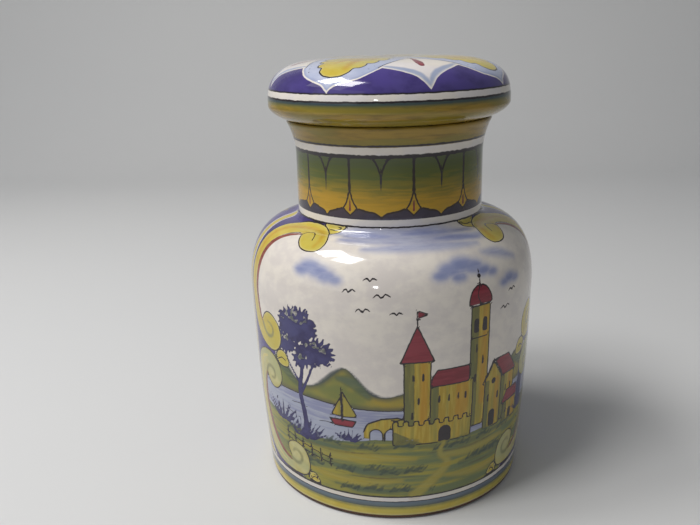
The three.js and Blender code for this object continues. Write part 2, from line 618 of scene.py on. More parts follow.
def mirrored(points):
    """The same points on the other side of the frame's middle line, which leans a little."""
    return [(2 * (FRAME_MIDDLE_LOW + FRAME_MIDDLE_LEAN * along) - across, along) for across, along in points]


def there(points, middle=PICTURE_MIDDLE - DRAWN_ASIDE / WIDEST):
    """Points in mm from the drawing's middle line, as degrees round the jar and mm up it."""
    return [(middle + across / WIDEST, along + RAISED) for across, along in points]


panel_half = flow([
    (-26, 147.5), (-38, 143), (-48, 141), (-57, 137), (-64, 128), (-66.5, 115), (-67, 104), (-66, 94),
    (-62.5, 85), (-58, 80), (-53.5, 77), (-50.6, 74.3), (-53.5, 71.6), (-58, 69), (-63, 62), (-65.8, 52),
    (-66, 42), (-64, 32), (-60, 24), (-52, 19), (-46, 17), (-40, 14), (-38, 10),
])
panel = panel_half + mirrored(panel_half)[::-1]
board.wipe("violet", panel)

SKY_STROKES = (
    (((-36, 136), (-10, 138.5), (16, 138), (50, 134)), 5.4),
    (((-30, 130.6), (0, 132), (28, 131.4), (54, 127.6)), 5.0),
    (((-16, 125.2), (14, 126.4), (44, 124)), 3.2), (((44, 119), (54, 117), (64, 113)), 2.2),
)
SKY_ACCENTS = (
    (((-30, 134), (-18, 135.6), (-4, 135.4)), 2.2), (((6, 137), (20, 137.4), (34, 136)), 1.6),
    (((24, 131), (36, 130), (48, 127)), 2.0),
)
CLOUD_DABS = (
    (-44, 113, 2.6), (-40, 114.6, 3.4), (-35.5, 113.4, 3.2), (-31, 111.6, 2.8), (-27, 110.6, 2.0),
    (20, 112, 2.4), (24.5, 114, 3.4), (30, 115.4, 3.8), (36, 114, 3.2), (41, 111.6, 2.6), (46, 110, 1.8),
    (28, 110.6, 2.2), (53, 104, 1.8), (57, 105, 2.4), (61, 104, 1.8),
)


def swelling(line, half, least=0.4):
    """Half widths along a stroke whose brush is pressed down in the middle and lifted at the ends."""
    last = len(line) - 1
    return [half * (least + (1 - least) * math.sin(math.pi * i / last)) for i in range(len(line))]


def washes(paint, strokes, reach=4.0):
    """Soft strokes of one paint, each with its points and its half width."""
    for points, half in strokes:
        line = flow(there(points))
        board.stroke(paint, line, swelling(line, half), reach=reach)


washes("sky", SKY_STROKES, 5)
for across, along, size in CLOUD_DABS:
    board.fill("sky", there(oval((across, along), size * 2.0, size * 1.1, parts=12)))
for across, along, size in CLOUD_DABS:
    board.fill("cloud", there(oval((across, along), size * 1.3, size * 0.62, parts=12)))
washes("cloud", SKY_ACCENTS)
print("sky strokes:", len(SKY_STROKES) + len(SKY_ACCENTS), "cloud dabs:", len(CLOUD_DABS))

# %% Hills, lake and meadow
FAR_RIDGE = (
    (-84, 58), (-74, 62), (-66, 67), (-60, 70), (-56, 68), (-49, 62), (-42, 60), (-35, 63), (-28, 69),
    (-23, 72), (-19, 69.5), (-13, 62.5), (-6, 59.5), (2, 61), (9, 65), (14, 67), (20, 64), (30, 60),
    (48, 60), (58, 65), (64, 68.5), (70, 66), (80, 60), (90, 62), (98, 60),
)
SHORE = ((98, 53.5), (50, 53), (20, 53.5), (-10, 53), (-45, 54.5), (-84, 54))
MEADOW_EDGE = (
    (-86, 41), (-70, 39.5), (-56, 37), (-40, 35), (-22, 36.5), (-6, 39), (8, 38), (26, 36.5), (44, 37.5),
    (60, 38), (72, 40), (98, 43),
)
board.fill("hill", flow(there(FAR_RIDGE)) + there(SHORE))
ridge = flow(there(FAR_RIDGE))
board.stroke("ridge", ridge, [0.55 + 0.35 * math.sin(i * 0.37) for i in range(len(ridge))])
HILL_SHADES = (
    (((-62, 66), (-55, 63.5), (-48, 58.5)), 2.0), (((-26, 67), (-19, 65.5), (-12, 59)), 2.4),
    (((12, 63.5), (20, 61), (28, 58)), 1.8), (((62, 65), (69, 62), (76, 57)), 2.0),
)
washes("moss", HILL_SHADES)
board.fill("water", there(SHORE) + there(((-84, 34), (98, 34))))
board.fill("meadow", flow(there(MEADOW_EDGE)) + there(((98, 6), (-86, 6))))
board.ink(flow(there(SHORE[2:])), 0.45)
MOSS_STROKES = (
    (((-62, 35), (-40, 32.5), (-16, 34), (6, 35.5)), 1.3), (((10, 34.5), (34, 33), (60, 34.5)), 1.2),
    (((-34, 23.5), (-12, 21.5), (12, 23.5)), 2.0), (((30, 22.5), (46, 24.5), (62, 22.5)), 1.8),
    (((-30, 12.8), (-8, 11.8), (16, 13)), 1.0), (((-60, 24), (-50, 21), (-42, 19)), 1.2),
)
HAY_STROKES = (
    (((-50, 28.5), (-30, 27.5), (-8, 29.5), (8, 28.5)), 2.0), (((20, 29.5), (36, 28), (56, 29.5)), 2.0),
    (((-44, 17.5), (-20, 15.5), (2, 17.5)), 1.8), (((24, 17.5), (42, 16), (60, 18.5)), 1.8),
)
UMBER_LINES = (
    ((-48, 31), (-28, 30.4), (-8, 31.8)), ((14, 31.2), (34, 30.4), (52, 31.4)),
    ((-30, 19.6), (-8, 18.6), (10, 20)), ((28, 19.8), (42, 20.4), (56, 20)),
)
washes("hay", HAY_STROKES)
washes("moss", MOSS_STROKES)
for points in UMBER_LINES:
    line = flow(there(points))
    board.stroke("umber", line, swelling(line, 0.4))
RIPPLES = ((-52, 49, 9), (-36, 44, 7), (-26, 50.5, 6), (-4, 46.5, 5), (-58, 43, 6))
for across, along, long in RIPPLES:
    board.ink(flow(there(((across, along), (across + long / 2, along + 0.5), (across + long, along)))), 0.32)
print("ridge points:", len(FAR_RIDGE), "ripples:", len(RIPPLES))


# %% Foliage brushes
def dab(paint, start, lean, long, thick):
    """One press of a pointed brush, from its heel at start to its tip."""
    tip = (start[0] + long * math.sin(lean), start[1] + long * math.cos(lean))
    board.stroke(paint, there((start, tip)), [thick, 0.35 * thick], reach=2)


def leafy_crown(centre, wide, high, dabs):
    """A round cloud of leaves: a solid middle, dabs that point outwards, and touches of light in it."""
    board.fill("leaf", there(oval(centre, wide * 0.84, high * 0.8)))
    for k in range(dabs):
        angle = 2 * math.pi * k / dabs + dice.uniform(-0.1, 0.1)
        x = centre[0] + wide * 0.78 * math.cos(angle)
        y = centre[1] + high * 0.74 * math.sin(angle)
        lean = math.pi / 2 - angle + dice.uniform(-0.4, 0.4)
        dab("leaf", (x, y), lean, dice.uniform(2.0, 3.6), 0.8)
    for k in range(dabs // 2):
        angle = dice.uniform(0.1, math.pi - 0.1)
        reach = dice.uniform(0.1, 0.7)
        x = centre[0] + wide * reach * math.cos(angle)
        y = centre[1] + high * reach * math.sin(angle)
        dab("tuft", (x, y), dice.uniform(-1.2, 1.2), dice.uniform(1.4, 2.4), 0.5)


def cypress(foot, high, wide):
    """A dark flame of a tree, from brush marks laid from its foot to its tip."""
    x, y = foot
    body = flow(((x - 0.3 * wide, y), (x - 0.5 * wide, y + 0.35 * high), (x, y + high)))
    body += flow(((x, y + high), (x + 0.5 * wide, y + 0.35 * high), (x + 0.3 * wide, y)))
    board.fill("leaf", there(body))
    marks = int(high / 1.9)
    for k in range(marks):
        share = k / marks
        reach = wide * 0.42 * (1 - share) ** 0.7
        for way in (-1, 1):
            lean = way * dice.uniform(0.25, 0.5)
            dab("leaf", (x + way * reach, y + 1 + share * high * 0.95), lean, dice.uniform(2.2, 3.4), 0.65)


def grass(paint, middle, wide, long, blades):
    """A tuft of blades that fan out from one place."""
    for k in range(blades):
        share = (k + 0.5) / blades * 2 - 1
        start = (middle[0] + share * wide * 0.5, middle[1] + dice.uniform(-0.4, 0.4))
        dab(paint, start, share * 1.1 + dice.uniform(-0.1, 0.1), long * dice.uniform(0.75, 1.1), 0.6)


print("brushes ready")

# %% Boat on the lake
HULL = ((-31, 47), (-18, 47), (-20, 43.8), (-28.6, 43.8))
MAIN_SAIL = ((-24.2, 48.4), (-24.2, 61), (-17.6, 49))
FORE_SAIL = ((-25.2, 48.6), (-25, 58.4), (-29.8, 49))
MAST = ((-24.7, 46.6), (-24.7, 62.5))
for sail in (MAIN_SAIL, FORE_SAIL):
    board.outlined("wall", there(sail), 0.5)
board.outlined("maroon", there(HULL), 0.5)
board.ink(there(MAST), 0.5)
print("boat: a hull, a mast and two sails")

# %% Bridge
DECK = ((-15, 42.5), (-13, 46.4), (-7, 49), (0, 49.6), (5, 48.4), (5, 39), (-15, 39))
BRIDGE_ARCHES = ((-9.4, 2.9), (-2.2, 3.3))
ARCH_FOOT = 38.6
ARCH_SPRING = 41
board.fill("wall", there(DECK))
board.ink(there(DECK[:5]), 0.7)
for middle, half in BRIDGE_ARCHES:
    arch_top = half_round((middle, ARCH_SPRING), half, half, 8)
    span = [(middle + half, ARCH_FOOT)] + arch_top + [(middle - half, ARCH_FOOT)]
    board.fill("water", there(span))
    board.ink(there(span), 0.45)
print("bridge arches:", len(BRIDGE_ARCHES))


# %% Town
def building(left, right, foot, top, shaded=0.35, gable=None):
    """A wall with its shadow side, perhaps with a pointed gable."""
    wide, high = right - left, top - foot
    outline = [(left, foot), (left, top)]
    if gable:
        outline.append(gable)
    outline += [(right, top), (right, foot)]
    shadow = left + shaded * wide
    board.fill("wall", there(outline))
    sunny = (left + 0.72 * wide, foot + 0.2 * high), (left + 0.74 * wide, top - 1)
    board.stroke("glow", there(sunny), [0.14 * wide] * 2, within=there(outline), inset=0.6)
    board.fill("shade", there(((left, foot), (left, top), (shadow, top), (shadow, foot))))
    board.ink(there(outline + outline[:1]))


def roof(points):
    """A tiled roof, all in one colour, with its edge inked."""
    board.outlined("maroon", there(points))


def windows(places, high=2.8, half=0.6):
    """Small dark openings, each one touch of the brush."""
    for across, along in places:
        board.stroke("dark", there(((across, along), (across, along + high))), [half, half * 0.8])


def arch(middle, foot, half, high):
    """A dark round-headed opening."""
    head = half_round((middle, foot + high - half), half, half, 6)
    outline = [(middle + half, foot)] + head + [(middle - half, foot)]
    board.fill("dark", there(outline))


building(33, 43, 40, 97, 0.4)
windows(((36, 62), (40, 70), (36.4, 76)), 3.4)
for middle in (35.7, 40.3):
    arch(middle, 85, 1.3, 6.5)
board.ink(there(((33, 82.6), (43, 82.6))), 0.5)
DOME = half_round((38, 97.6), 6.2, 8.4, 12)
roof(DOME)
board.ink(flow(there(((38, 97.6), (36.4, 101.5), (38, 106)))), 0.4)
board.ink(there(((38, 106), (38, 112))), 0.6)
board.fill("dark", there(oval((38, 109.6), 1.1, 1.1, parts=8)))

building(14, 35, 40, 64, 0.2)
roof(((12.4, 63.4), (17.5, 71), (33, 71), (33, 63.4)))
windows(((18.5, 56), (23, 56), (27.5, 56), (31.2, 55.6)))

building(3, 14.5, 36, 76, 0.38)
roof(((1.4, 75.4), (8.6, 92), (16.2, 75.4)))
board.ink(there(((8.6, 92), (8.6, 98.5))), 0.6)
board.fill("maroon", there(((8.8, 98.5), (8.8, 95.4), (13.2, 96.6))))
board.ink(there(((8.6, 98.7), (13.6, 96.7), (8.6, 95.2))), 0.45)
windows(((7, 67), (11.2, 67), (9.2, 56), (6.4, 49)))

building(52.5, 64, 37, 60, 0.3)
roof(((47.5, 69.4), (58, 69.4), (65.5, 59.6), (53.4, 59.6)))
windows(((57, 51), (61, 51)))
building(42, 53, 36, 60, 0.25, gable=(47.5, 68.4))
board.ink(there(((41, 59.4), (47.5, 69.6), (54.2, 59.4))), 1.1)
board.fill("dark", there(oval((47.6, 59), 1.5, 1.5, parts=10)))
arch(47.6, 36.4, 2.1, 8.6)
windows(((44.4, 50), (50.8, 50)))

MERLON_WIDTH = 2.3
MERLON_HEIGHT = 2.2
WALL_LEFT, WALL_RIGHT = -2.0, 31
WALL_FOOT, WALL_TOP = 36, 45.5
battlement = [(WALL_LEFT, WALL_FOOT)]
across = WALL_LEFT
while across < WALL_RIGHT:
    for top in (WALL_TOP + MERLON_HEIGHT, WALL_TOP):
        battlement += [(across, top), (across + MERLON_WIDTH, top)]
        across += MERLON_WIDTH
battlement.append((across, WALL_FOOT))
board.fill("wall", there(battlement))
board.fill("shade", there(((-2, 36), (-2, 43), (4, 40), (12, 36))))
board.ink(there(battlement + battlement[:1]))
arch(21.5, 36.2, 3.0, 8.0)
building(56, 69, 34.5, 45, 0.25)
roof(((54.4, 44.6), (58.5, 50.6), (68, 50.6), (71, 44.6)))
arch(62.5, 34.8, 1.5, 5.6)
windows(((58.8, 39),), 2.2)
cypress((72.5, 38), 27, 6.5)
print("town laid out, with", len(battlement), "points in its battlement")

# %% Tree, reeds and grass
BRANCHES = (
    (((-45, 33), (-44.4, 44), (-46.4, 56), (-44.4, 68), (-46.6, 80)), 1.5),
    (((-45.8, 55), (-41, 64), (-37.4, 72)), 0.8),
    (((-46, 60), (-52, 68), (-55, 75)), 0.7),
    (((-45, 70), (-42, 78), (-41, 86)), 0.6),
)
for points, thick in BRANCHES:
    line = flow(there(points))
    board.stroke("leaf", line, tapering(line, thick, thick / 2))
CROWNS = (
    ((-54.5, 79), 8, 6, 28), ((-36, 77), 8.5, 6.2, 28), ((-46.5, 88), 11.5, 8.4, 40), ((-44, 72), 5, 3, 14),
)
for centre, wide, high, dabs in CROWNS:
    leafy_crown(centre, wide, high, dabs)
REEDS = (((-46, 33), 12, 10, 17), ((-61, 37), 9, 12, 13), ((-22, 37), 8, 5.5, 9), ((74, 36), 8, 9, 11))
for middle, wide, long, blades in REEDS:
    grass("leaf", middle, wide, long, blades)
TUFTS_PER_STROKE = 4
TUFT_BLADES = 9
BLADE_GAP = 1.05
for points, _ in MOSS_STROKES:
    for k in range(TUFTS_PER_STROKE):
        share = (k + 0.2 + 0.4 * dice.random()) / TUFTS_PER_STROKE
        x = points[0][0] + share * (points[-1][0] - points[0][0])
        y = points[len(points) // 2][1] + dice.uniform(-1.4, 0.4)
        for blade in range(TUFT_BLADES):
            rise = 0.8 * math.sin(math.pi * blade / (TUFT_BLADES - 1))
            heel = (x + BLADE_GAP * blade, y + rise + dice.uniform(-0.2, 0.2))
            dab("tuft", heel, dice.uniform(0.45, 0.75), 4.4, 0.36)
print("branches:", len(BRANCHES), "crowns:", len(CROWNS), "reeds:", len(REEDS))

# %% Path, fence and birds
PATH = ((21.4, 35.6), (19.6, 30.5), (23.6, 24.5), (17, 17), (8, 9.6))
line = flow(there(PATH))
board.stroke("hay", line, tapering(line, 0.9, 2.8))
FENCE_POSTS = 6
POST_GAP = 5.2
POST_DROP = 1.1
FENCE_RAILS = (((-59, 31.4), (-46, 28.6), (-31, 25.6)), ((-59, 28.4), (-46, 25.6), (-31, 22.8)))
for k in range(FENCE_POSTS):
    x, y = -58 + POST_GAP * k, 30 - POST_DROP * k
    board.ink(there(((x, y - 3), (x, y + 3.4))), 0.7)
for rail in FENCE_RAILS:
    board.ink(flow(there(rail)), 0.5)
BIRDS = (
    (-14, 98, 5.5), (-6, 104, 6.5), (-20, 106, 5), (0, 97, 4.5), (-11, 111, 5), (53, 92, 5.5), (58, 99, 4.5),
)
for x, y, span in BIRDS:
    wings = (
        (x - span / 2, y + span * 0.1), (x - span * 0.25, y + span * 0.28), (x, y),
        (x + span * 0.25, y + span * 0.3), (x + span / 2, y + span * 0.16),
    )
    board.ink(flow(there(wings)), 0.55)
print("fence posts:", FENCE_POSTS, "birds:", len(BIRDS))

# %% Wipe off what ran over the panel's edge
PICTURE_PAINTS = (
    "sky", "cloud", "hill", "ridge", "water", "meadow", "hay", "moss", "tuft", "umber", "wall", "glow",
    "shade", "leaf", "maroon", "dark",
)
at, gap = board.area(panel)
outside = np.full(len(jar_angle), FAR)
outside[at] = gap
for paint in PICTURE_PAINTS:
    board.edge[paint] = np.maximum(board.edge[paint], outside)
board.ink_gap = np.maximum(board.ink_gap, outside + INK_REACH)
print("paints wiped:", len(PICTURE_PAINTS))

# %% [markdown]
# ## The scrollwork frame
# A yellow ribbon runs round the picture, curls over at the top and ends in volutes below. It is
# alike on both sides, so only the left half is drawn, in degrees across and mm up the wall, and
# each shape is laid down twice. The ground outside the ribbon is violet, and a rusty shadow lies
# along its inner edge.

# %% Ribbon and volutes
UPPER_RIBBON = flow([
    (-46.4, 133.4), (-44.4, 130.4), (-42.2, 128), (-40, 126.4), (-37.2, 125.7), (-34.4, 125.7),
    (-31.4, 126.6), (-29.7, 129), (-29.4, 131.5), (-30, 133.8), (-31.7, 137), (-34.4, 140.5),
    (-38.9, 143.4), (-44.4, 144.3), (-50, 144.2), (-55, 143.8), (-61, 142.4), (-64.4, 140.6),
    (-66.8, 137.6), (-68.2, 133.6), (-69.2, 129), (-69.9, 124), (-70.3, 118), (-70.6, 111), (-70.7, 103),
    (-70.3, 95), (-69, 88), (-66.4, 82), (-62.4, 78), (-57.8, 75.7), (-54.6, 74.9), (-51.4, 75.1),
    (-48.6, 76.8), (-46.7, 80), (-46, 84), (-46.7, 87.4), (-48.3, 90.2), (-51.1, 92.3), (-53.9, 93),
    (-56.2, 92.2), (-58.3, 90.3), (-60.4, 87.6), (-62.8, 91), (-64.2, 97), (-64.8, 104), (-64.5, 111),
    (-63.6, 117.4), (-62, 122.6), (-59.6, 127), (-56.2, 130.8), (-52.4, 133.4), (-49, 134.6),
], closed=True)
LOWER_RIBBON = flow([
    (-60.2, 61.4), (-58.7, 58.4), (-56.7, 56.4), (-54.4, 55.5), (-52.2, 55.9), (-50, 57.4), (-48.3, 60),
    (-47.5, 63.2), (-48, 66.6), (-49.4, 69.6), (-51.7, 72), (-54.4, 73.3), (-57.8, 73.5), (-61.7, 72.5),
    (-65, 70.4), (-67.6, 67.6), (-69.6, 63.4), (-70.8, 57), (-71.2, 49), (-70.8, 40), (-69.6, 32),
    (-67.2, 25.4), (-64, 20.6), (-60, 17.2), (-56, 15.5), (-51, 14.8), (-46, 14.6), (-42, 14.8),
    (-39, 15.4), (-36.9, 17.2), (-35.7, 20.5), (-35.5, 24), (-36.4, 27.8), (-38.3, 30.6), (-41.1, 31.9),
    (-43.9, 31.9), (-46.2, 30.8), (-47.8, 28.8), (-48, 26), (-46.8, 23.4), (-46.6, 21.2), (-49.6, 21.4),
    (-53, 23.2), (-56.2, 25.8), (-59, 29.4), (-61.4, 34), (-63.2, 40), (-63.9, 46), (-63.5, 51.4),
    (-62.4, 56.4),
], closed=True)
UPPER_SHADOW = (
    (-46.8, 134), (-50.2, 132.8), (-53.8, 131), (-57.4, 128), (-60.2, 124.2), (-62.1, 119.4), (-63.2, 113),
    (-63.6, 105), (-63.3, 98), (-62.3, 92), (-60.5, 87), (-58.4, 83.6),
)
LOWER_SHADOW = (
    (-60.2, 61.6), (-61.8, 56.6), (-62.8, 51.4), (-63.2, 46), (-62.6, 40), (-61, 34.6), (-58.8, 29.8),
    (-56, 25.8), (-52.6, 22.8), (-48.6, 21), (-44.4, 20),
)
SPIRALS = (
    ((-59.6, 86), (-57.6, 82.6), (-55, 81.2), (-52.4, 82), (-51.2, 84.6), (-52.2, 87), (-55, 88.2)),
    ((-60, 61.8), (-58.4, 64.4), (-56, 65.6), (-53.6, 64.8), (-52.6, 62.4), (-53.6, 60.4), (-55.6, 60)),
    ((-46.4, 21.4), (-43.4, 20.4), (-40.8, 21.6), (-39.8, 24.4), (-41, 27), (-43.6, 27.6), (-45, 26)),
)
HOOK = (
    (-46.3, 133.6), (-45.4, 135.6), (-43.8, 137), (-41.6, 137.4), (-39.6, 136.2), (-38, 133.8),
    (-37.4, 132),
)
LEAVES = (
    flow(((-49.8, 72.6), (-49.4, 75.2), (-47.4, 77.2), (-45, 77.2), (-43.2, 75.4), (-42.2, 72.6),
          (-42.9, 70.2), (-45.4, 69.6), (-48.2, 70.2)), closed=True),
    flow(((-40, 145), (-33, 145.2), (-25.6, 145), (-27.4, 142.8), (-29.6, 140.8), (-31.8, 139.4),
          (-34.4, 139.4), (-37, 142)), closed=True),
    flow(((-36.6, 15), (-35.6, 18.4), (-34.2, 19.2), (-32.6, 18.6), (-31.4, 16.6), (-30.8, 14.6),
          (-33.6, 14.2)), closed=True),
)
VEINS = (
    ((-48.6, 72.4), (-46.4, 73.8), (-44.6, 73)), ((-35, 142.6), (-31.4, 142.6), (-28.6, 143.6)),
    ((-35, 15.6), (-33.8, 16.8), (-32.4, 16.4)),
)
UPPER_MIDDLE = (
    (-34, 128.6), (-33.2, 132.4), (-36.4, 138.4), (-44, 140.8), (-53, 139.6), (-60.4, 136), (-65, 129.6),
    (-66.8, 121), (-67.4, 110), (-67.4, 99), (-66, 90),
)
LOWER_MIDDLE = (
    (-58, 70), (-63, 67.4), (-66.4, 60), (-67.4, 50), (-66.8, 39), (-64.2, 29), (-59, 21.4), (-50, 17.6),
)
RIBBONS = (
    ("yellow", "amber", UPPER_RIBBON, UPPER_MIDDLE),
    ("straw", "yellow", LOWER_RIBBON, LOWER_MIDDLE),
)


def both(shapes):
    """Each shape on the left of the picture's middle line, and then on its right."""
    for shape in shapes:
        yield list(shape)
        yield mirrored(shape)


for shape in both(LEAVES):
    board.outlined("yellow", shape)
for paint, tint, outline, middle_line in RIBBONS:
    for shape, run in zip(both((outline,)), both((middle_line,))):
        board.outlined(paint, shape)
        line = flow(run)
        board.stroke(tint, line, swelling(line, 1.3), within=shape, inset=0.9)
for shape in both((UPPER_SHADOW, LOWER_SHADOW)):
    line = flow(shape)
    board.stroke("russet", line, swelling(line, 1.5, 0.3))
for shape in both(SPIRALS):
    line = flow(shape)
    board.stroke("olive", line, tapering(line, 1.0, 0.5))
for shape in both((HOOK,) + VEINS):
    board.ink(flow(shape), 0.5)
print("frame shapes:", 2 * (2 + len(LEAVES)), "spirals and veins:", 2 * (1 + len(SPIRALS + VEINS)))

# %% [markdown]
# ## Sides and back
# The photograph shows only where the side decoration starts: a second yellow band with white edges
# that comes down from the neck over the violet ground. On jars of this kind it frames a plainer
# panel at the back, so here it runs down both sides and holds a rosette with two sprays, which are
# stock motifs of this ware. Stems are drawn first, and leaves are pressed along them.

# %% Side bands
BACK_MIDDLE = PICTURE_MIDDLE + 180


def ribbon(line, half):
    """The two edges of a band of even width, as one closed outline."""
    left, right = [], []
    for i, (across, along) in enumerate(line):
        before, after = line[max(i - 1, 0)], line[min(i + 1, len(line) - 1)]
        dx, dy = (after[0] - before[0]) * WIDEST, after[1] - before[1]
        size = math.hypot(dx, dy)
        left.append((across - dy / size * half / WIDEST, along + dx / size * half))
        right.append((across + dy / size * half / WIDEST, along - dx / size * half))
    return left + right[::-1]


SIDE_BAND = (
    (-95, 147), (-88, 142.5), (-82.5, 137.5), (-78.8, 131.5), (-76.4, 124), (-75.4, 115), (-75.4, 104),
    (-75.2, 93), (-74.4, 83), (-74, 73), (-75, 62), (-76, 50), (-75.8, 40), (-74.2, 30), (-71.6, 22),
    (-67.6, 15), (-62, 9),
)
for line in both((flow(SIDE_BAND),)):
    board.fill("white", ribbon(line, 4.0))
    board.outlined("yellow", ribbon(line, 2.6), 0.45)
print("side bands:", 2)


# %% Leaves and curls for the sides
def leaf_shape(root, lean, long, wide):
    """A leaf with a pointed tip, out from its root, and the line of its vein, in mm."""
    tip = (root[0] + long * math.sin(lean), root[1] + long * math.cos(lean))
    middle = ((root[0] + tip[0]) / 2, (root[1] + tip[1]) / 2)
    side = (wide * math.cos(lean), -wide * math.sin(lean))
    left = flow((root, (middle[0] + side[0], middle[1] + side[1]), tip))
    right_edge = flow((tip, (middle[0] - side[0], middle[1] - side[1]), root))
    return left + right_edge[1:-1], (root, ((root[0] + 3 * tip[0]) / 4, (root[1] + 3 * tip[1]) / 4))


def pointed_leaf(paint, root, lean, long, wide, middle):
    """A leaf in one paint, with its edge and vein inked."""
    outline, vein = leaf_shape(root, lean, long, wide)
    board.outlined(paint, there(outline, middle), 0.5)
    board.ink(there(vein, middle), 0.45)


CURL = ((0.6, 3), (6.6, 8), (9.4, 15.5), (7, 22.4), (2.4, 23.4), (0.8, 19.6), (3, 17.4), (5, 19))
SIDE_MIDDLES = (-97, 111)
CORNER_MIDDLES = (-108, 122)
SIDE_CENTRE = 75
SPRAY_HEIGHT = 31
for middle in SIDE_MIDDLES:
    for upright in (1, -1):
        facing = 0 if upright > 0 else math.pi
        spray = SIDE_CENTRE + upright * SPRAY_HEIGHT
        pointed_leaf("yellow", (0, SIDE_CENTRE + upright * 5), facing, 25, 3.2, middle)
        for side in (1, -1):
            curl = flow([(side * (x + 1.4), SIDE_CENTRE + upright * (y + 3)) for x, y in CURL])
            board.stroke("yellow", there(curl, middle), tapering(curl, 1.9, 0.9))
            pointed_leaf("yellow", (side * 2, spray), facing + side * 0.75, 14, 2.6, middle)
            outwards = side * (math.pi / 2 - upright * 0.5)
            pointed_leaf("yellow", (side * 4, SIDE_CENTRE), outwards, 12, 2.4, middle)
        pointed_leaf("yellow", (0, spray), facing, 15, 2.6, middle)
    board.outlined("yellow", there(oval((0, SIDE_CENTRE), 5.6, 5.6), middle))
    board.outlined("maroon", there(oval((0, SIDE_CENTRE), 2.6, 2.6, parts=14), middle), 0.5)
CORNER_ROOTS = ((120, 1), (23, -1))
CORNER_LEANS = (-0.9, 0.0, 0.9)
for middle in CORNER_MIDDLES:
    inwards = 1 if middle < 0 else -1
    for root, upright in CORNER_ROOTS:
        facing = -inwards * (0.35 if upright > 0 else math.pi - 0.35)
        for lean in CORNER_LEANS:
            pointed_leaf("yellow", (0, root), facing + lean, 14, 2.6, middle)
print("side ornaments:", len(SIDE_MIDDLES), "and three leaves in each corner")

# %% Back panel
BACK_CENTRE = 74
BACK_HALF_WIDTH = 71
BACK_HALF_HEIGHT = 57
SQUARENESS = 0.72


def cartouche(shrink):
    """A squared-off oval round the middle of the back, in degrees and mm."""
    ring = []
    for k in range(72):
        angle = k / 72 * 2 * math.pi
        x = math.copysign(abs(math.cos(angle)) ** SQUARENESS, math.cos(angle)) * (BACK_HALF_WIDTH - shrink)
        y = math.copysign(abs(math.sin(angle)) ** SQUARENESS, math.sin(angle)) * (BACK_HALF_HEIGHT - shrink)
        ring.append((x, BACK_CENTRE + y))
    return there(ring, BACK_MIDDLE)


board.outlined("yellow", cartouche(0))
board.outlined("white", cartouche(4.6))
inner_line = cartouche(7.6) + cartouche(7.6)[:1]
board.stroke("slate", inner_line, [0.7] * len(inner_line))
print("back panel:", 2 * BACK_HALF_HEIGHT, "mm tall")

# %% Rosette and sprays
STEM = ((4, 15), (11, 27), (24, 35), (39, 33), (48, 22), (45, 10), (35, 8), (33, 16), (38, 19))
for upright in (1, -1):
    for side in (1, -1):
        stem = flow([(side * x, BACK_CENTRE + upright * y) for x, y in STEM])
        board.stroke("leaf", there(stem, BACK_MIDDLE), [0.75] * len(stem))
        for k in range(4, len(stem) - 12, 6):
            (x0, y0), (x1, y1) = stem[k], stem[k + 1]
            way = math.atan2(x1 - x0, y1 - y0)
            pointed_leaf("yellow", stem[k], way + 0.85 * side * upright, 11.5, 2.5, BACK_MIDDLE)
            pointed_leaf("violet", stem[k + 3], way - 0.85 * side * upright, 9.5, 2.2, BACK_MIDDLE)
        board.outlined("maroon", there(oval(stem[-1], 3, 3, parts=14), BACK_MIDDLE), 0.5)
        for k in range(3):
            spot = (side * (7 + 3.4 * k), BACK_CENTRE + upright * (15.5 + k))
            board.fill("maroon", there(oval(spot, 1.1, 1.1, parts=8), BACK_MIDDLE))
for k in range(8):
    paint, long = ("violet", 19) if k % 2 else ("yellow", 23)
    pointed_leaf(paint, (0, BACK_CENTRE), k * math.pi / 4, long, 5.4, BACK_MIDDLE)
board.outlined("ochre", there(oval((0, BACK_CENTRE), 6, 6), BACK_MIDDLE))
for k in range(6):
    dot = (3.3 * math.sin(k * math.pi / 3), BACK_CENTRE + 3.3 * math.cos(k * math.pi / 3))
    board.fill("maroon", there(oval(dot, 1, 1, parts=8), BACK_MIDDLE))
print("back panel: four sprays and a rosette")

# %% [markdown]
# ## Neck, rim and foot
# The neck carries ten hanging petals on a dark ground, with a drop where two petals meet. They
# aren't all of one width, because a hand spaced them by eye. Above and below run lines and bands
# that were laid with a steady brush while the jar turned on a banding wheel.

# %% Petals on the neck
NECK_FOOT = 148.4
NECK_TOP = 175.6
PETAL_EDGES = (-54.6, -22.8, 13.7, 47.5, 83, 119, 155, 191, 227, 265, 305.4)
FORK = ((5, 175), (2.6, 172.6), (0.7, 168.8), (0, 165))
DROP = ((0, 161), (1.4, 157), (2.5, 155), (4.2, 153.2), (0, 150), (-4.2, 153.2), (-2.5, 155), (-1.4, 157))
board.band("night", NECK_FOOT, NECK_TOP)
for left, right_edge in zip(PETAL_EDGES, PETAL_EDGES[1:]):
    middle, half = (left + right_edge) / 2, (right_edge - left) / 2
    lip = flow(((0.25 - half, 164), (0.6 - half, 160), (1.7 - half, 156.4), (3.4 - half, 154.1),
                (5.6 - half, 152.9), (8.6 - half, 152.3), (-8, 152), (-5.6, 151.7), (-3.2, 151.2),
                (-1.6, 150.4), (0, 148.9)))
    curve = [(0.25 - half, NECK_TOP - 0.6)] + lip
    petal = [(middle + across, along) for across, along in curve]
    petal += [(middle - across, along) for across, along in curve[::-1][1:]]
    board.outlined("petal", petal, 0.8)
    for way in (-1, 1):
        board.ink(flow([(middle + way * across, along) for across, along in FORK]), 0.85)
    board.stroke("dark", ((middle, 168), (middle, 159.4)), [0.55, 0.16])
for left in PETAL_EDGES[:-1]:
    board.outlined("petal", [(left + across, along) for across, along in DROP], 0.65)
    board.stroke("maroon", ((left, 157), (left, 152.4)), [0.2, 0.5])
print("petals:", len(PETAL_EDGES) - 1)

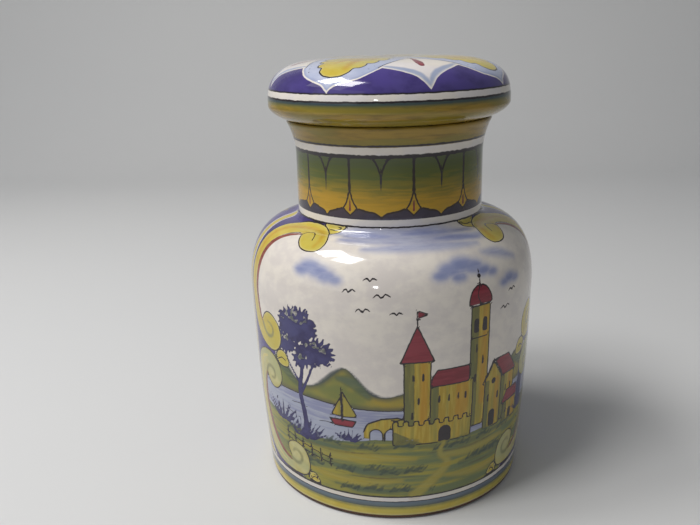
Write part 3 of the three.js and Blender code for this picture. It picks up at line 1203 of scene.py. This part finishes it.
# %% Bands and lines
WHITE_NECK = (BODY_TOP, NECK_FOOT)
FLARE = (179.4, 195)
WHITE_THROAT = (NECK_TOP, FLARE[0])
board.band("white", *WHITE_NECK)
board.band("white", *WHITE_THROAT)
board.band("ochre", *FLARE)
board.ring(BODY_TOP - 0.2, 0.75)
board.ring(NECK_TOP, 1.3)
board.ring(FLARE[0] + 0.5, 1.0)
FOOT_BANDS = (
    ("slate", 7.8, 10.8), ("white", 10.8, 12.8), ("yellow", 3.2, 7.8), ("sea", 6.9, 8.2), ("clay", -14, 3.2),
)
for paint, low, high in FOOT_BANDS:
    board.band(paint, low, high)
board.ring(13.2, 0.7)
board.ring(10.6, 0.4)
print("bands:", 3 + len(FOOT_BANDS))

# %% [markdown]
# ## The lid's star
# The lid is painted from above, as a flat disc: distance from the crown along the surface, and
# angle. Four pale lobes with a yellow leaf in each alternate with four white star points on violet.
# The photograph sees it almost edge-on, so the middle of the disc is a guess: a plain ring and
# boss where the leaves start.

# %% Star, lobes and leaves
LID_PAINTS = [
    "violet", "ochre", "sea", "white", "mist", "border", "yellow", "amber", "maroon", "clay", "dark",
]
LOBES = (-27, 63, 153, 243)
POINTS = (18, 108, 198, 288)
LID_WHITE = (59.8, 62.5)
STAR_SIZE = 0.973
SEAT_EDGE = lid_reach[np.hypot(lid_radius - lid_outline[lid_edge][0], lid_z - seat_height).argmin()]
lid_turn = np.radians(lid_angle)
lid_across, lid_along = lid_reach * np.sin(lid_turn), lid_reach * np.cos(lid_turn)
disc = Canvas(lid_across, lid_along, np.ones(len(lid_reach)), None, lid_reach, LID_PAINTS)
disc.band("violet", -1, LID_WHITE[0])


def spoke(middle, pairs):
    """Points at (angle off a middle line, distance from the crown)."""
    turned_by = [(math.radians(middle + off), reach * STAR_SIZE) for off, reach in pairs]
    return [(reach * math.sin(angle), reach * math.cos(angle)) for angle, reach in turned_by]


def seen_from_above(middle, half):
    """Both sides of a shape from its (angle off its middle, distance from the crown) pairs."""
    return spoke(middle, list(half) + [(-off, reach) for off, reach in half[::-1] if off])


LOBE_HALF = flow((
    (0, 61), (3, 58.2), (8, 56.4), (15, 54), (22.5, 48.6), (29, 42), (35, 36), (41, 31.6), (45, 29),
))
LOBE_HALF += [(45, 10)]
LEAF_HALF = flow((
    (0, 53.6), (4.6, 52.8), (8.2, 50.2), (9.6, 47), (12.8, 46.6), (15, 43.8), (15, 41.2), (18.4, 41),
    (21, 38.2), (21, 35.6), (24.8, 35), (28, 31.6), (27.8, 28.6), (31.6, 26.8), (34, 22), (32, 18.2),
    (24, 16.2), (0, 15.4),
))
POINT_HALF = flow(((0, 60.2), (1.6, 58), (4, 55), (7, 52.8), (12, 50.4), (18, 48.2), (22.6, 46.8)), parts=3)
POINT_HALF += flow(((22.6, 46.8), (17, 41.4), (10.4, 36), (0, 30)), parts=3)
HEART_EDGE = ((0.6, 57.4), (3, 53.6), (6, 51), (10.5, 48.8), (15.5, 47), (20, 45.6))
INNER_EDGE = ((22.6, 46.8), (17, 41.4), (10.4, 36), (5, 32.6), (0, 30))
HEART = ((0, 30.5), (0, 34), (0, 38), (0, 42), (0, 45.4))
TOUCHES = ((-6, 22, 40, 2.0), (5, 20, 47, 2.4), (15, 20, 33, 1.4))
for middle in LOBES:
    disc.fill("white", seen_from_above(middle, LOBE_HALF))
for middle in LOBES:
    disc.fill("mist", seen_from_above(middle, LOBE_HALF), inset=0.7)
for middle in LOBES:
    disc.outlined("yellow", seen_from_above(middle, LEAF_HALF), 0.65)
    for off, start, end, half in TOUCHES:
        touch = spoke(middle, [(off, reach) for reach in (start, (start + end) / 2, end)])
        disc.stroke("amber", touch, [half * 0.6, half, half * 0.4])
    disc.keep_within("amber", seen_from_above(middle, LEAF_HALF), 1.2)
for middle in POINTS:
    disc.fill("white", seen_from_above(middle, POINT_HALF))
    for way in (-1, 1):
        shadow = spoke(middle, [(way * off, reach) for off, reach in HEART_EDGE])
        disc.stroke("border", shadow, [1.3, 1.5, 1.5, 1.3, 1.0, 0.7])
        disc.ink(spoke(middle, [(way * off, reach) for off, reach in INNER_EDGE]), 0.5)
        disc.ink(spoke(middle, ((0, 30), (0, 15))), 0.5)
    disc.keep_within("border", seen_from_above(middle, POINT_HALF), 0.7)
    disc.stroke("maroon", spoke(middle, HEART), [0.3, 0.7, 1.3, 1.7, 1.2])
disc.outlined("white", oval((0, 0), 15, 15, parts=40))
disc.outlined("ochre", oval((0, 0), 12.4, 12.4, parts=40))
for k in range(8):
    angle = k * math.pi / 4
    seed = (7.6 * math.sin(angle), 7.6 * math.cos(angle))
    disc.fill("yellow", oval(seed, 1.7, 3.2, -math.degrees(angle), parts=14))
disc.outlined("maroon", oval((0, 0), 3.2, 3.2, parts=16), 0.5)
print("lobes:", len(LOBES), "points:", len(POINTS), "seat edge at", round(float(SEAT_EDGE), 1), "mm")

# %% Lid edge
disc.band("ochre", LID_WHITE[1], SEAT_EDGE + 0.6)
disc.band("sea", LID_WHITE[1] - 2, LID_WHITE[1] + 2.4)
disc.band("white", *LID_WHITE)
disc.band("clay", SEAT_EDGE + 0.6, SEAT_EDGE + 9)
disc.ring(LID_WHITE[0] - 0.2, 0.6)
disc.ring(LID_WHITE[1] + 0.3, 0.8)
BEAD_COUNT = 3
for middle in LOBES:
    for off in (-15, 15):
        for k in range(BEAD_COUNT):
            turn_by = math.radians(middle + off + math.copysign(2.6, off) * k)
            reach = 49.4 - 2.7 * k
            spot = (reach * math.sin(turn_by), reach * math.cos(turn_by))
            disc.stroke("dark", (spot, (spot[0] * 0.985, spot[1] * 0.985)), [0.34, 0.2])
print("lid bands:", 4)

# %% Hand the fields to the meshes
for piece, canvas in ((jar, board), (lid, disc)):
    fields = {"paint_" + paint: field for paint, field in canvas.edge.items()}
    fields.update(ink_side=canvas.ink_side, ink_gap=canvas.ink_gap, level=canvas.level)
    for name, field in fields.items():
        kept = piece.data.attributes.new(name, "FLOAT", "POINT")
        kept.data.foreach_set("value", field.astype(np.float32))
    print(piece.name, "fields:", len(fields))

# %% [markdown]
# ## A map for baking
# The surface is unrolled into one strip per piece: once round is the width, and the way along the
# outline is the height. Smart projection would cut the strip into islands, but a turned piece has
# a natural map, and its only seam is put at the side, away from the picture.

# %% Unroll each piece
SEAM = START + JAR_ARCS[0][0]
SLACK = 1e-3


def unroll(piece, angle, along):
    """A strip map: across is the angle from the seam, and up is the way along the outline."""
    mesh = piece.data
    corner = np.empty(len(mesh.loops), int)
    mesh.loops.foreach_get("vertex_index", corner)
    first = np.empty(len(mesh.polygons), int)
    size = np.empty(len(mesh.polygons), int)
    mesh.polygons.foreach_get("loop_start", first)
    mesh.polygons.foreach_get("loop_total", size)
    face = np.repeat(np.arange(len(size)), size)
    across = ((angle - SEAM + SLACK) % 360 / 360)[corner]
    # A face that crosses the seam ends at 1 instead of going back to 0.
    widest = np.maximum.reduceat(across, first)[face]
    across = np.where((widest > 0.75) & (across < 0.25), 1.0, across)
    height = (along - along.min()) / (along.max() - along.min())
    # A corner on the axis sits midway between the other two of its triangle.
    pole = np.isclose(height, 0) | np.isclose(height, 1)
    at_pole = pole[corner] & (size[face] == 3)
    others = np.add.reduceat(np.where(at_pole, 0, across), first) / 2
    across = np.where(at_pole, others[face], across)
    kept = mesh.uv_layers.new(name="OFBake")
    kept.data.foreach_set("uv", np.column_stack((across, height[corner])).ravel().astype(np.float32))
    mesh.uv_layers.active = kept
    print(piece.name, "map corners:", len(across), "at the poles:", int(at_pole.sum()))


for piece, angle, along in ((jar, jar_angle, jar_climb), (lid, lid_angle, lid_reach)):
    while piece.data.uv_layers:
        piece.data.uv_layers.remove(piece.data.uv_layers[0])
    unroll(piece, angle, along)

# %% [markdown]
# ## Paint and glaze
# Under a clear gloss, painted colour is never flat. The brush leaves streaks where it ran dry, the
# pigment gathers along the edge of a stroke, and the edge itself wavers. Each of these effects is
# a small node group. The edge and the load of the brush are placed once for every paint, with its
# own values, the streaks once for every way of brushing, and the ink line once over all. The gloss
# is the shader's own: low roughness over colour, with a faint waviness where the glaze ran.

# %% Node helpers
SOCKETS = {"value": "NodeSocketFloat", "colour": "NodeSocketColor", "vector": "NodeSocketVector"}


def linear(code):
    """A colour as it is written in a picture, such as C8BE78, as light."""
    parts = [int(code[i:i + 2], 16) / 255 for i in (0, 2, 4)]
    return tuple(c / 12.92 if c <= 0.04045 else ((c + 0.055) / 1.055) ** 2.4 for c in parts) + (1.0,)


def new_group(name, inputs, outputs):
    """An empty node group with named sockets, and its two ends."""
    tree = bpy.data.node_groups.new(name, "ShaderNodeTree")
    for way, sockets in (("INPUT", inputs), ("OUTPUT", outputs)):
        for title, kind in sockets:
            tree.interface.new_socket(title, in_out=way, socket_type=SOCKETS[kind])
    start, end = tree.nodes.new("NodeGroupInput"), tree.nodes.new("NodeGroupOutput")
    end.location.x = 1400
    return tree, start.outputs, end.inputs


def node(tree, kind, place, values, **settings):
    """A node at a place on the sheet, with its settings, and each value typed in or linked."""
    made = tree.nodes.new(kind)
    made.location = place
    for title, setting in settings.items():
        setattr(made, title, setting)
    for title, value in values.items():
        socket = made.inputs[title]
        if isinstance(value, bpy.types.NodeSocket):
            tree.links.new(value, socket)
        else:
            socket.default_value = value
    return made


def mixed(tree, place, factor, under, over):
    """One colour over another by a factor."""
    made = node(tree, "ShaderNodeMix", place, {0: factor, 6: under, 7: over}, data_type="RGBA")
    return made.outputs[2]


def reckoned(tree, place, operation, *values):
    """What one sum or product makes of its values."""
    made = node(tree, "ShaderNodeMath", place, dict(enumerate(values)), operation=operation)
    return made.outputs[0]


def ranged(tree, place, value, low, high, start=0.0, end=1.0, kind="LINEAR"):
    """A value brought from one range to another, along a straight line or an S."""
    values = {"Value": value, "From Min": low, "From Max": high, "To Min": start, "To Max": end}
    return node(tree, "ShaderNodeMapRange", place, values, interpolation_type=kind).outputs[0]


def noise(tree, place, **values):
    """Soft random values over the surface."""
    named = {title.capitalize(): value for title, value in values.items()}
    return node(tree, "ShaderNodeTexNoise", place, named).outputs[0]


print("colour check:", [round(c, 3) for c in linear("C8BE78")])

# %% Edge, ink and streak groups
SMOOTH = "SMOOTHSTEP"
STREAK_RANGE = (0.78, 1.22)
PATCH_RANGE = (0.44, 0.62)
GATHERED_SHARE = 0.8

edge_group, into, out_of = new_group(
    "paint edge", [("Distance", "value"), ("Softness", "value"), ("Waver", "value")], [("Mask", "value")])
moved = reckoned(edge_group, (200, 0), "ADD", into["Distance"], into["Waver"])
minus = reckoned(edge_group, (200, -200), "MULTIPLY", into["Softness"], -1.0)
cut = ranged(edge_group, (500, 0), moved, into["Softness"], minus, kind=SMOOTH)
edge_group.links.new(cut, out_of["Mask"])

ink_group, into, out_of = new_group(
    "ink line", [("Side", "value"), ("Gap", "value"), ("Waver", "value")], [("Mask", "value")])
moved = reckoned(ink_group, (200, 0), "ADD", into["Side"], into["Waver"])
away = reckoned(ink_group, (400, 0), "ABSOLUTE", moved)
core = ranged(ink_group, (600, 0), away, INK_WIDTH * 0.66, INK_WIDTH * 0.34, kind=SMOOTH)
close = ranged(ink_group, (600, -300), into["Gap"], INK_REACH, INK_REACH * 0.8, kind=SMOOTH)
ink_group.links.new(reckoned(ink_group, (900, 0), "MULTIPLY", core, close), out_of["Mask"])

streak_group, into, out_of = new_group(
    "brush streaks", [("Vector", "vector"), ("Around", "value"), ("Up", "value"), ("Patch size", "value")],
    [("Streak", "value"), ("Patch", "value")])
scale = node(streak_group, "ShaderNodeCombineXYZ", (200, -200), {
    0: into["Around"], 1: into["Around"], 2: into["Up"],
}).outputs[0]
sized = node(streak_group, "ShaderNodeVectorMath", (400, 0), {
    0: into["Vector"], 1: scale,
}, operation="MULTIPLY").outputs[0]
hairs = noise(streak_group, (600, 0), vector=sized, scale=1.0, detail=3.0, roughness=0.6)
patches = noise(streak_group, (600, -300), vector=sized, scale=into["Patch size"], detail=2.0)
summed = reckoned(streak_group, (850, 0), "ADD", hairs, patches)
spread = ranged(streak_group, (1050, 0), summed, *STREAK_RANGE, kind=SMOOTH)
parted = ranged(streak_group, (1050, -300), patches, *PATCH_RANGE, kind=SMOOTH)
streak_group.links.new(spread, out_of["Streak"])
streak_group.links.new(parted, out_of["Patch"])

load_group, into, out_of = new_group(
    "brush load", [("Full", "colour"), ("Thin", "colour"), ("Gathered", "colour"), ("Stray", "colour"),
                   ("Streak", "value"), ("Patch", "value"), ("Dryness", "value"), ("Straying", "value"),
                   ("Distance", "value"), ("Gather", "value")], [("Colour", "colour")])
dry = reckoned(load_group, (200, 0), "MULTIPLY", into["Streak"], into["Dryness"])
even = mixed(load_group, (450, 0), dry, into["Full"], into["Thin"])
strays = reckoned(load_group, (200, 200), "MULTIPLY", into["Patch"], into["Straying"])
body = mixed(load_group, (650, 100), strays, even, into["Stray"])
depth = reckoned(load_group, (200, -300), "MULTIPLY", into["Gather"], -1.0)
pool = ranged(load_group, (450, -300), into["Distance"], depth, 0.0, kind=SMOOTH)
rim = reckoned(load_group, (650, -300), "MULTIPLY", pool, GATHERED_SHARE)
load_group.links.new(mixed(load_group, (900, 0), rim, body, into["Gathered"]), out_of["Colour"])
print("groups:", [tree.name for tree in bpy.data.node_groups])

# %% [markdown]
# Three kinds of brushwork cover it all: streaks that run round the piece, streaks that run up it,
# and soft washes. Each paint says its full colour, the thin colour where the brush ran dry, the
# colour that gathers at its edge, the stray colour of an unwashed brush and how much of it there
# is, how wide the gathered edge is in mm, the kind of streak, how dry the brush was, how soft the
# edge is in mm, and how well it covers. The petals have no row, because their colour runs from
# orange at the tip to green at the top, with painted shade from the lid's edge darkening the top:
# they take it from a ramp.

# %% Colours of the paints
AROUND = "around"
UPWARD = "upward"
CLOUDY = "cloudy"
STREAKS = {AROUND: (90.0, 900.0, 0.25), UPWARD: (900.0, 90.0, 0.3), CLOUDY: (160.0, 220.0, 0.35)}
CRISP = 0.13
VERY_SOFT = 2.2
TIN_WHITE = "DCD5CB"
THIN_WHITE = "CFC8C2"
PAINTS = {
    "violet": ("3C326A", "544A8A", "2B2558", "483C7E", 0.7, 1.2, CLOUDY, 0.5, CRISP, 1.0),
    "night": ("2E2838", "453C50", "25202E", "3A2C2C", 0.5, 0.8, CLOUDY, 0.5, CRISP, 1.0),
    "white": (TIN_WHITE, THIN_WHITE, TIN_WHITE, "D6D2D6", 0.5, 0.4, CLOUDY, 0.4, CRISP, 1.0),
    "sky": ("868EB2", "AEB3C8", "989EBA", "7A84AC", 0.6, 1.5, AROUND, 0.8, VERY_SOFT, 0.8),
    "cloud": ("747EA8", "9AA0BE", "8088B0", "6A76A2", 0.6, 0.8, CLOUDY, 0.8, 1.6, 0.75),
    "hill": ("A08C34", "7C8044", "4A5044", "68723E", 0.8, 3.2, CLOUDY, 0.6, CRISP, 1.0),
    "ridge": ("3E4650", "5A6258", "3E4650", "4A5248", 0.6, 0.5, CLOUDY, 0.6, 0.6, 0.9),
    "water": ("7D83A6", "A6ABB9", "7F84A0", "949CB4", 0.7, 1.0, AROUND, 1.0, CRISP, 0.9),
    "meadow": ("98903A", "6E7548", "5C6544", "60704E", 0.75, 2.0, AROUND, 0.8, CRISP, 1.0),
    "hay": ("A08E36", "AEA252", "A08E36", "8E8838", 0.5, 1.0, AROUND, 0.8, 1.3, 0.85),
    "moss": ("4C5A44", "6A7650", "44523E", "44564E", 0.6, 0.8, AROUND, 0.8, 1.2, 0.85),
    "tuft": ("38443C", "505C48", "38443C", "34444A", 0.5, 0.3, CLOUDY, 0.6, 0.25, 0.9),
    "umber": ("5A4A34", "6A5A40", "5A4A34", "4E4430", 0.4, 0.3, AROUND, 0.6, 0.5, 0.8),
    "wall": ("A88C2C", "C0AA48", "7E7434", "8A8238", 0.75, 0.9, UPWARD, 0.9, CRISP, 1.0),
    "glow": ("B4821E", "BE9632", "B4821E", "A87820", 0.5, 0.5, UPWARD, 0.7, 0.9, 0.7),
    "shade": ("6A683A", "87803E", "5C5E38", "5E6440", 0.7, 0.6, UPWARD, 0.8, 0.3, 1.0),
    "leaf": ("2F2A56", "494878", "28234A", "3A3A68", 0.5, 0.5, CLOUDY, 0.7, CRISP, 1.0),
    "straw": ("B4AC6C", "C6C090", "A89C58", "A4A674", 0.8, 1.3, CLOUDY, 0.7, CRISP, 1.0),
    "yellow": ("BEA83E", "CCBC5E", "C9BE80", "B5A848", 0.6, 1.3, CLOUDY, 0.7, CRISP, 1.0),
    "olive": ("7C7C52", "949060", "7C7C52", "74785A", 0.6, 0.5, CLOUDY, 0.6, 0.7, 0.85),
    "amber": ("B88A28", "C29A3A", "B88A28", "AC8226", 0.5, 0.5, CLOUDY, 0.6, 1.5, 0.72),
    "russet": ("7E4038", "9A5E50", "64302C", "8C4A44", 0.5, 0.6, AROUND, 0.6, 0.35, 1.0),
    "maroon": ("782430", "943844", "561C26", "84303C", 0.6, 0.6, AROUND, 0.7, CRISP, 1.0),
    "ochre": ("987C2C", "6E5A20", "7C6626", "887E32", 0.6, 0.8, AROUND, 0.8, CRISP, 1.0),
    "slate": ("566074", "74808E", "464E62", "5E7076", 0.6, 0.5, AROUND, 0.6, CRISP, 1.0),
    "sea": ("38484E", "4E5A40", "5C6238", "34404E", 0.5, 1.2, AROUND, 0.6, 1.3, 1.0),
    "clay": ("4A2F22", "6B4A36", "3A251B", "5A3C2C", 0.5, 0.5, CLOUDY, 0.7, CRISP, 1.0),
    "dark": ("2A2428", "3A3438", "2A2428", "302A30", 0.3, 0.3, CLOUDY, 0.4, CRISP, 1.0),
    "mist": ("A9AFC6", "C2C8D8", "8D96B5", "9AA4C0", 0.6, 1.6, CLOUDY, 0.7, CRISP, 1.0),
    "border": ("8C98B2", "A6B0C4", "8C98B2", "8490B0", 0.5, 0.8, CLOUDY, 0.6, 0.7, 0.9),
}
INK = "2A2428"
NECK_INK = "2C2016"
# Petal colours by height, orange at the tip to green at the top; the top ones are also darkened as painted
# shade under the lid's edge.
PETAL_COLOURS_AND_SHADE = (
    (150.4, "B6901E"), (155.4, "AE8818"), (161.3, "7A6E1C"), (167.2, "545C22"), (175.2, "4C5632"),
)
PETAL_SHIFT = 4.0
print("paints:", len(PAINTS))


# %% The glaze material
WAVER = 0.12
WAVER_SCALE = 420.0
RIPPLE_SCALE = 55.0
GRAIN_SCALE = 1400.0
GRAIN_SHARE = 0.12
GLOSS = (0.05, 0.09)
BARE_ROUGHNESS = 0.75
GLAZE_IOR = 1.52
BUMP_HEIGHT = 0.0003
BUMP_STRENGTH = 0.3


def shaded_petal_colour(tree, level, streak):
    """Green at the top of a petal and orange at its tip, run into each other by a wet brush, with painted
    shade from the lid's edge darkening the top.
    """
    low, high = PETAL_COLOURS_AND_SHADE[0][0], PETAL_COLOURS_AND_SHADE[-1][0]
    shaken = reckoned(tree, (-900, -1200), "MULTIPLY_ADD", streak, PETAL_SHIFT, level)
    share = ranged(tree, (-700, -1200), shaken, low + PETAL_SHIFT / 2, high + PETAL_SHIFT / 2)
    ramp = node(tree, "ShaderNodeValToRGB", (-500, -1200), {"Fac": share})
    stops = ramp.color_ramp.elements
    while len(stops) < len(PETAL_COLOURS_AND_SHADE):
        stops.new(0.5)
    for stop, (height, code) in zip(stops, PETAL_COLOURS_AND_SHADE):
        stop.position = (height - low) / (high - low)
        stop.color = linear(code)
    return ramp.outputs[0]


def pen_colour(tree, level):
    """The colour of the ink lines: near black, and browner on the neck."""
    low_neck = ranged(tree, (2000, -900), level, NECK_FOOT, NECK_FOOT + 3)
    high_neck = ranged(tree, (2000, -1050), level, NECK_TOP - 2, NECK_TOP - 10)
    on_neck = reckoned(tree, (2150, -900), "MULTIPLY", low_neck, high_neck)
    return mixed(tree, (2250, -900), on_neck, linear(INK), linear(NECK_INK))


def gloss(tree, shader, where, dull):
    """A clear gloss with faint waves, dull and grainy where the clay is bare."""
    ripple = noise(tree, (2000, -1200), vector=where, scale=RIPPLE_SCALE, detail=2.0)
    grain = noise(tree, (2000, -1500), vector=where, scale=GRAIN_SCALE, detail=3.0)
    rough = ranged(tree, (2200, -1200), ripple, 0.3, 0.7, *GLOSS)
    dulled = node(tree, "ShaderNodeMix", (2600, -1000), {0: dull, 2: rough, 3: BARE_ROUGHNESS})
    rubbed = reckoned(tree, (2400, -1500), "MULTIPLY", grain, dull)
    bump = node(tree, "ShaderNodeBump", (2800, -1300), {
        "Height": reckoned(tree, (2600, -1300), "MULTIPLY_ADD", rubbed, GRAIN_SHARE, ripple),
        "Distance": BUMP_HEIGHT, "Strength": BUMP_STRENGTH,
    })
    shader.inputs["IOR"].default_value = GLAZE_IOR
    tree.links.new(dulled.outputs[0], shader.inputs["Roughness"])
    tree.links.new(bump.outputs[0], shader.inputs["Normal"])


def glaze(name, canvas, bare):
    """Tin glaze with every paint of a canvas laid over it in turn."""
    material = bpy.data.materials.new(name)
    material.use_nodes = True
    tree = material.node_tree
    shader = tree.nodes["Principled BSDF"]
    where = node(tree, "ShaderNodeTexCoord", (-1900, 0), {}).outputs["Object"]
    last = len(canvas.paints)

    def field(title, row):
        """One of the values that the canvas kept on the vertices."""
        place = (-1500, -row * 180)
        return node(tree, "ShaderNodeAttribute", place, {}, attribute_name=title).outputs["Fac"]

    streak = {}
    for row, (kind, (around, upward, patches)) in enumerate(STREAKS.items()):
        streak[kind] = node(tree, "ShaderNodeGroup", (-1600, 600 + 220 * row), {
            "Vector": where, "Around": around, "Up": upward, "Patch size": patches,
        }, node_tree=streak_group)
    shiver = noise(tree, (-1600, 1400), vector=where, scale=WAVER_SCALE, detail=1.0)
    waver = ranged(tree, (-1400, 1400), shiver, 0.25, 0.75, -WAVER, WAVER)
    level = field("level", last + 1)
    colour = mixed(tree, (-1200, 1000), streak[CLOUDY].outputs[0], linear(TIN_WHITE), linear(THIN_WHITE))
    dull = None
    for row, paint in enumerate(canvas.paints):
        distance = field("paint_" + paint, row)
        x, y = -1200 + 160 * row, -row * 180
        if paint == "petal":
            soft, cover = CRISP, 1.0
            laid = shaded_petal_colour(tree, level, streak[AROUND].outputs[0])
        else:
            full, thin, gathered, stray, straying, gather, kind, dryness, soft, cover = PAINTS[paint]
            laid = node(tree, "ShaderNodeGroup", (x, y), {
                "Full": linear(full), "Thin": linear(thin), "Gathered": linear(gathered),
                "Stray": linear(stray), "Straying": straying, "Dryness": dryness, "Gather": gather,
                "Streak": streak[kind].outputs["Streak"], "Patch": streak[kind].outputs["Patch"],
                "Distance": distance,
            }, node_tree=load_group).outputs[0]
        mask = node(tree, "ShaderNodeGroup", (x, y - 200), {
            "Distance": distance, "Softness": soft, "Waver": waver,
        }, node_tree=edge_group).outputs[0]
        if cover < 1:
            mask = reckoned(tree, (x + 160, y - 200), "MULTIPLY", mask, cover)
        colour = mixed(tree, (x + 320, y), mask, colour, laid)
        if paint == bare:
            dull = mask
    line = node(tree, "ShaderNodeGroup", (2200, -600), {
        "Side": field("ink_side", last + 2), "Gap": field("ink_gap", last + 3), "Waver": waver,
    }, node_tree=ink_group).outputs[0]
    colour = mixed(tree, (2400, 0), line, colour, pen_colour(tree, level))
    tree.links.new(colour, shader.inputs["Base Color"])
    gloss(tree, shader, where, dull)
    shader.location = (3100, 0)
    tree.nodes["Material Output"].location = (3400, 0)
    print(name, "nodes:", len(tree.nodes))
    return material


for piece, canvas, name in ((jar, board, "jar_glaze"), (lid, disc, "lid_glaze")):
    piece.data.materials.clear()
    piece.data.materials.append(glaze(name, canvas, "clay"))

# %% Floor material
floor_look = bpy.data.materials.new("floor_paper")
floor_look.use_nodes = True
paper = floor_look.node_tree.nodes["Principled BSDF"]
paper.inputs["Roughness"].default_value = 0.9
mottle = noise(floor_look.node_tree, (-600, 0), scale=3.0, detail=4.0)
toned = mixed(floor_look.node_tree, (-300, 0), mottle, linear("C9CACB"), linear("D2D2D1"))
floor_look.node_tree.links.new(toned, paper.inputs["Base Color"])
floor.data.materials.append(floor_look)
print("floor material:", floor_look.name)

# %% [markdown]
# ## Hand over
# Each painted piece stands for its CAD node and rides on that node's body, so that the lid lifts
# with its joint. The box of the finished model is printed beside the CAD box.

# %% Ride, replace and print the size
for piece, body in ((jar, "jar"), (lid, "lid")):
    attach(piece, body)
    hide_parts(body)
size = {"cad": [list(corner) for corner in cad_box], "visual": [list(corner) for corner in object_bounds()]}
print("size:", size)
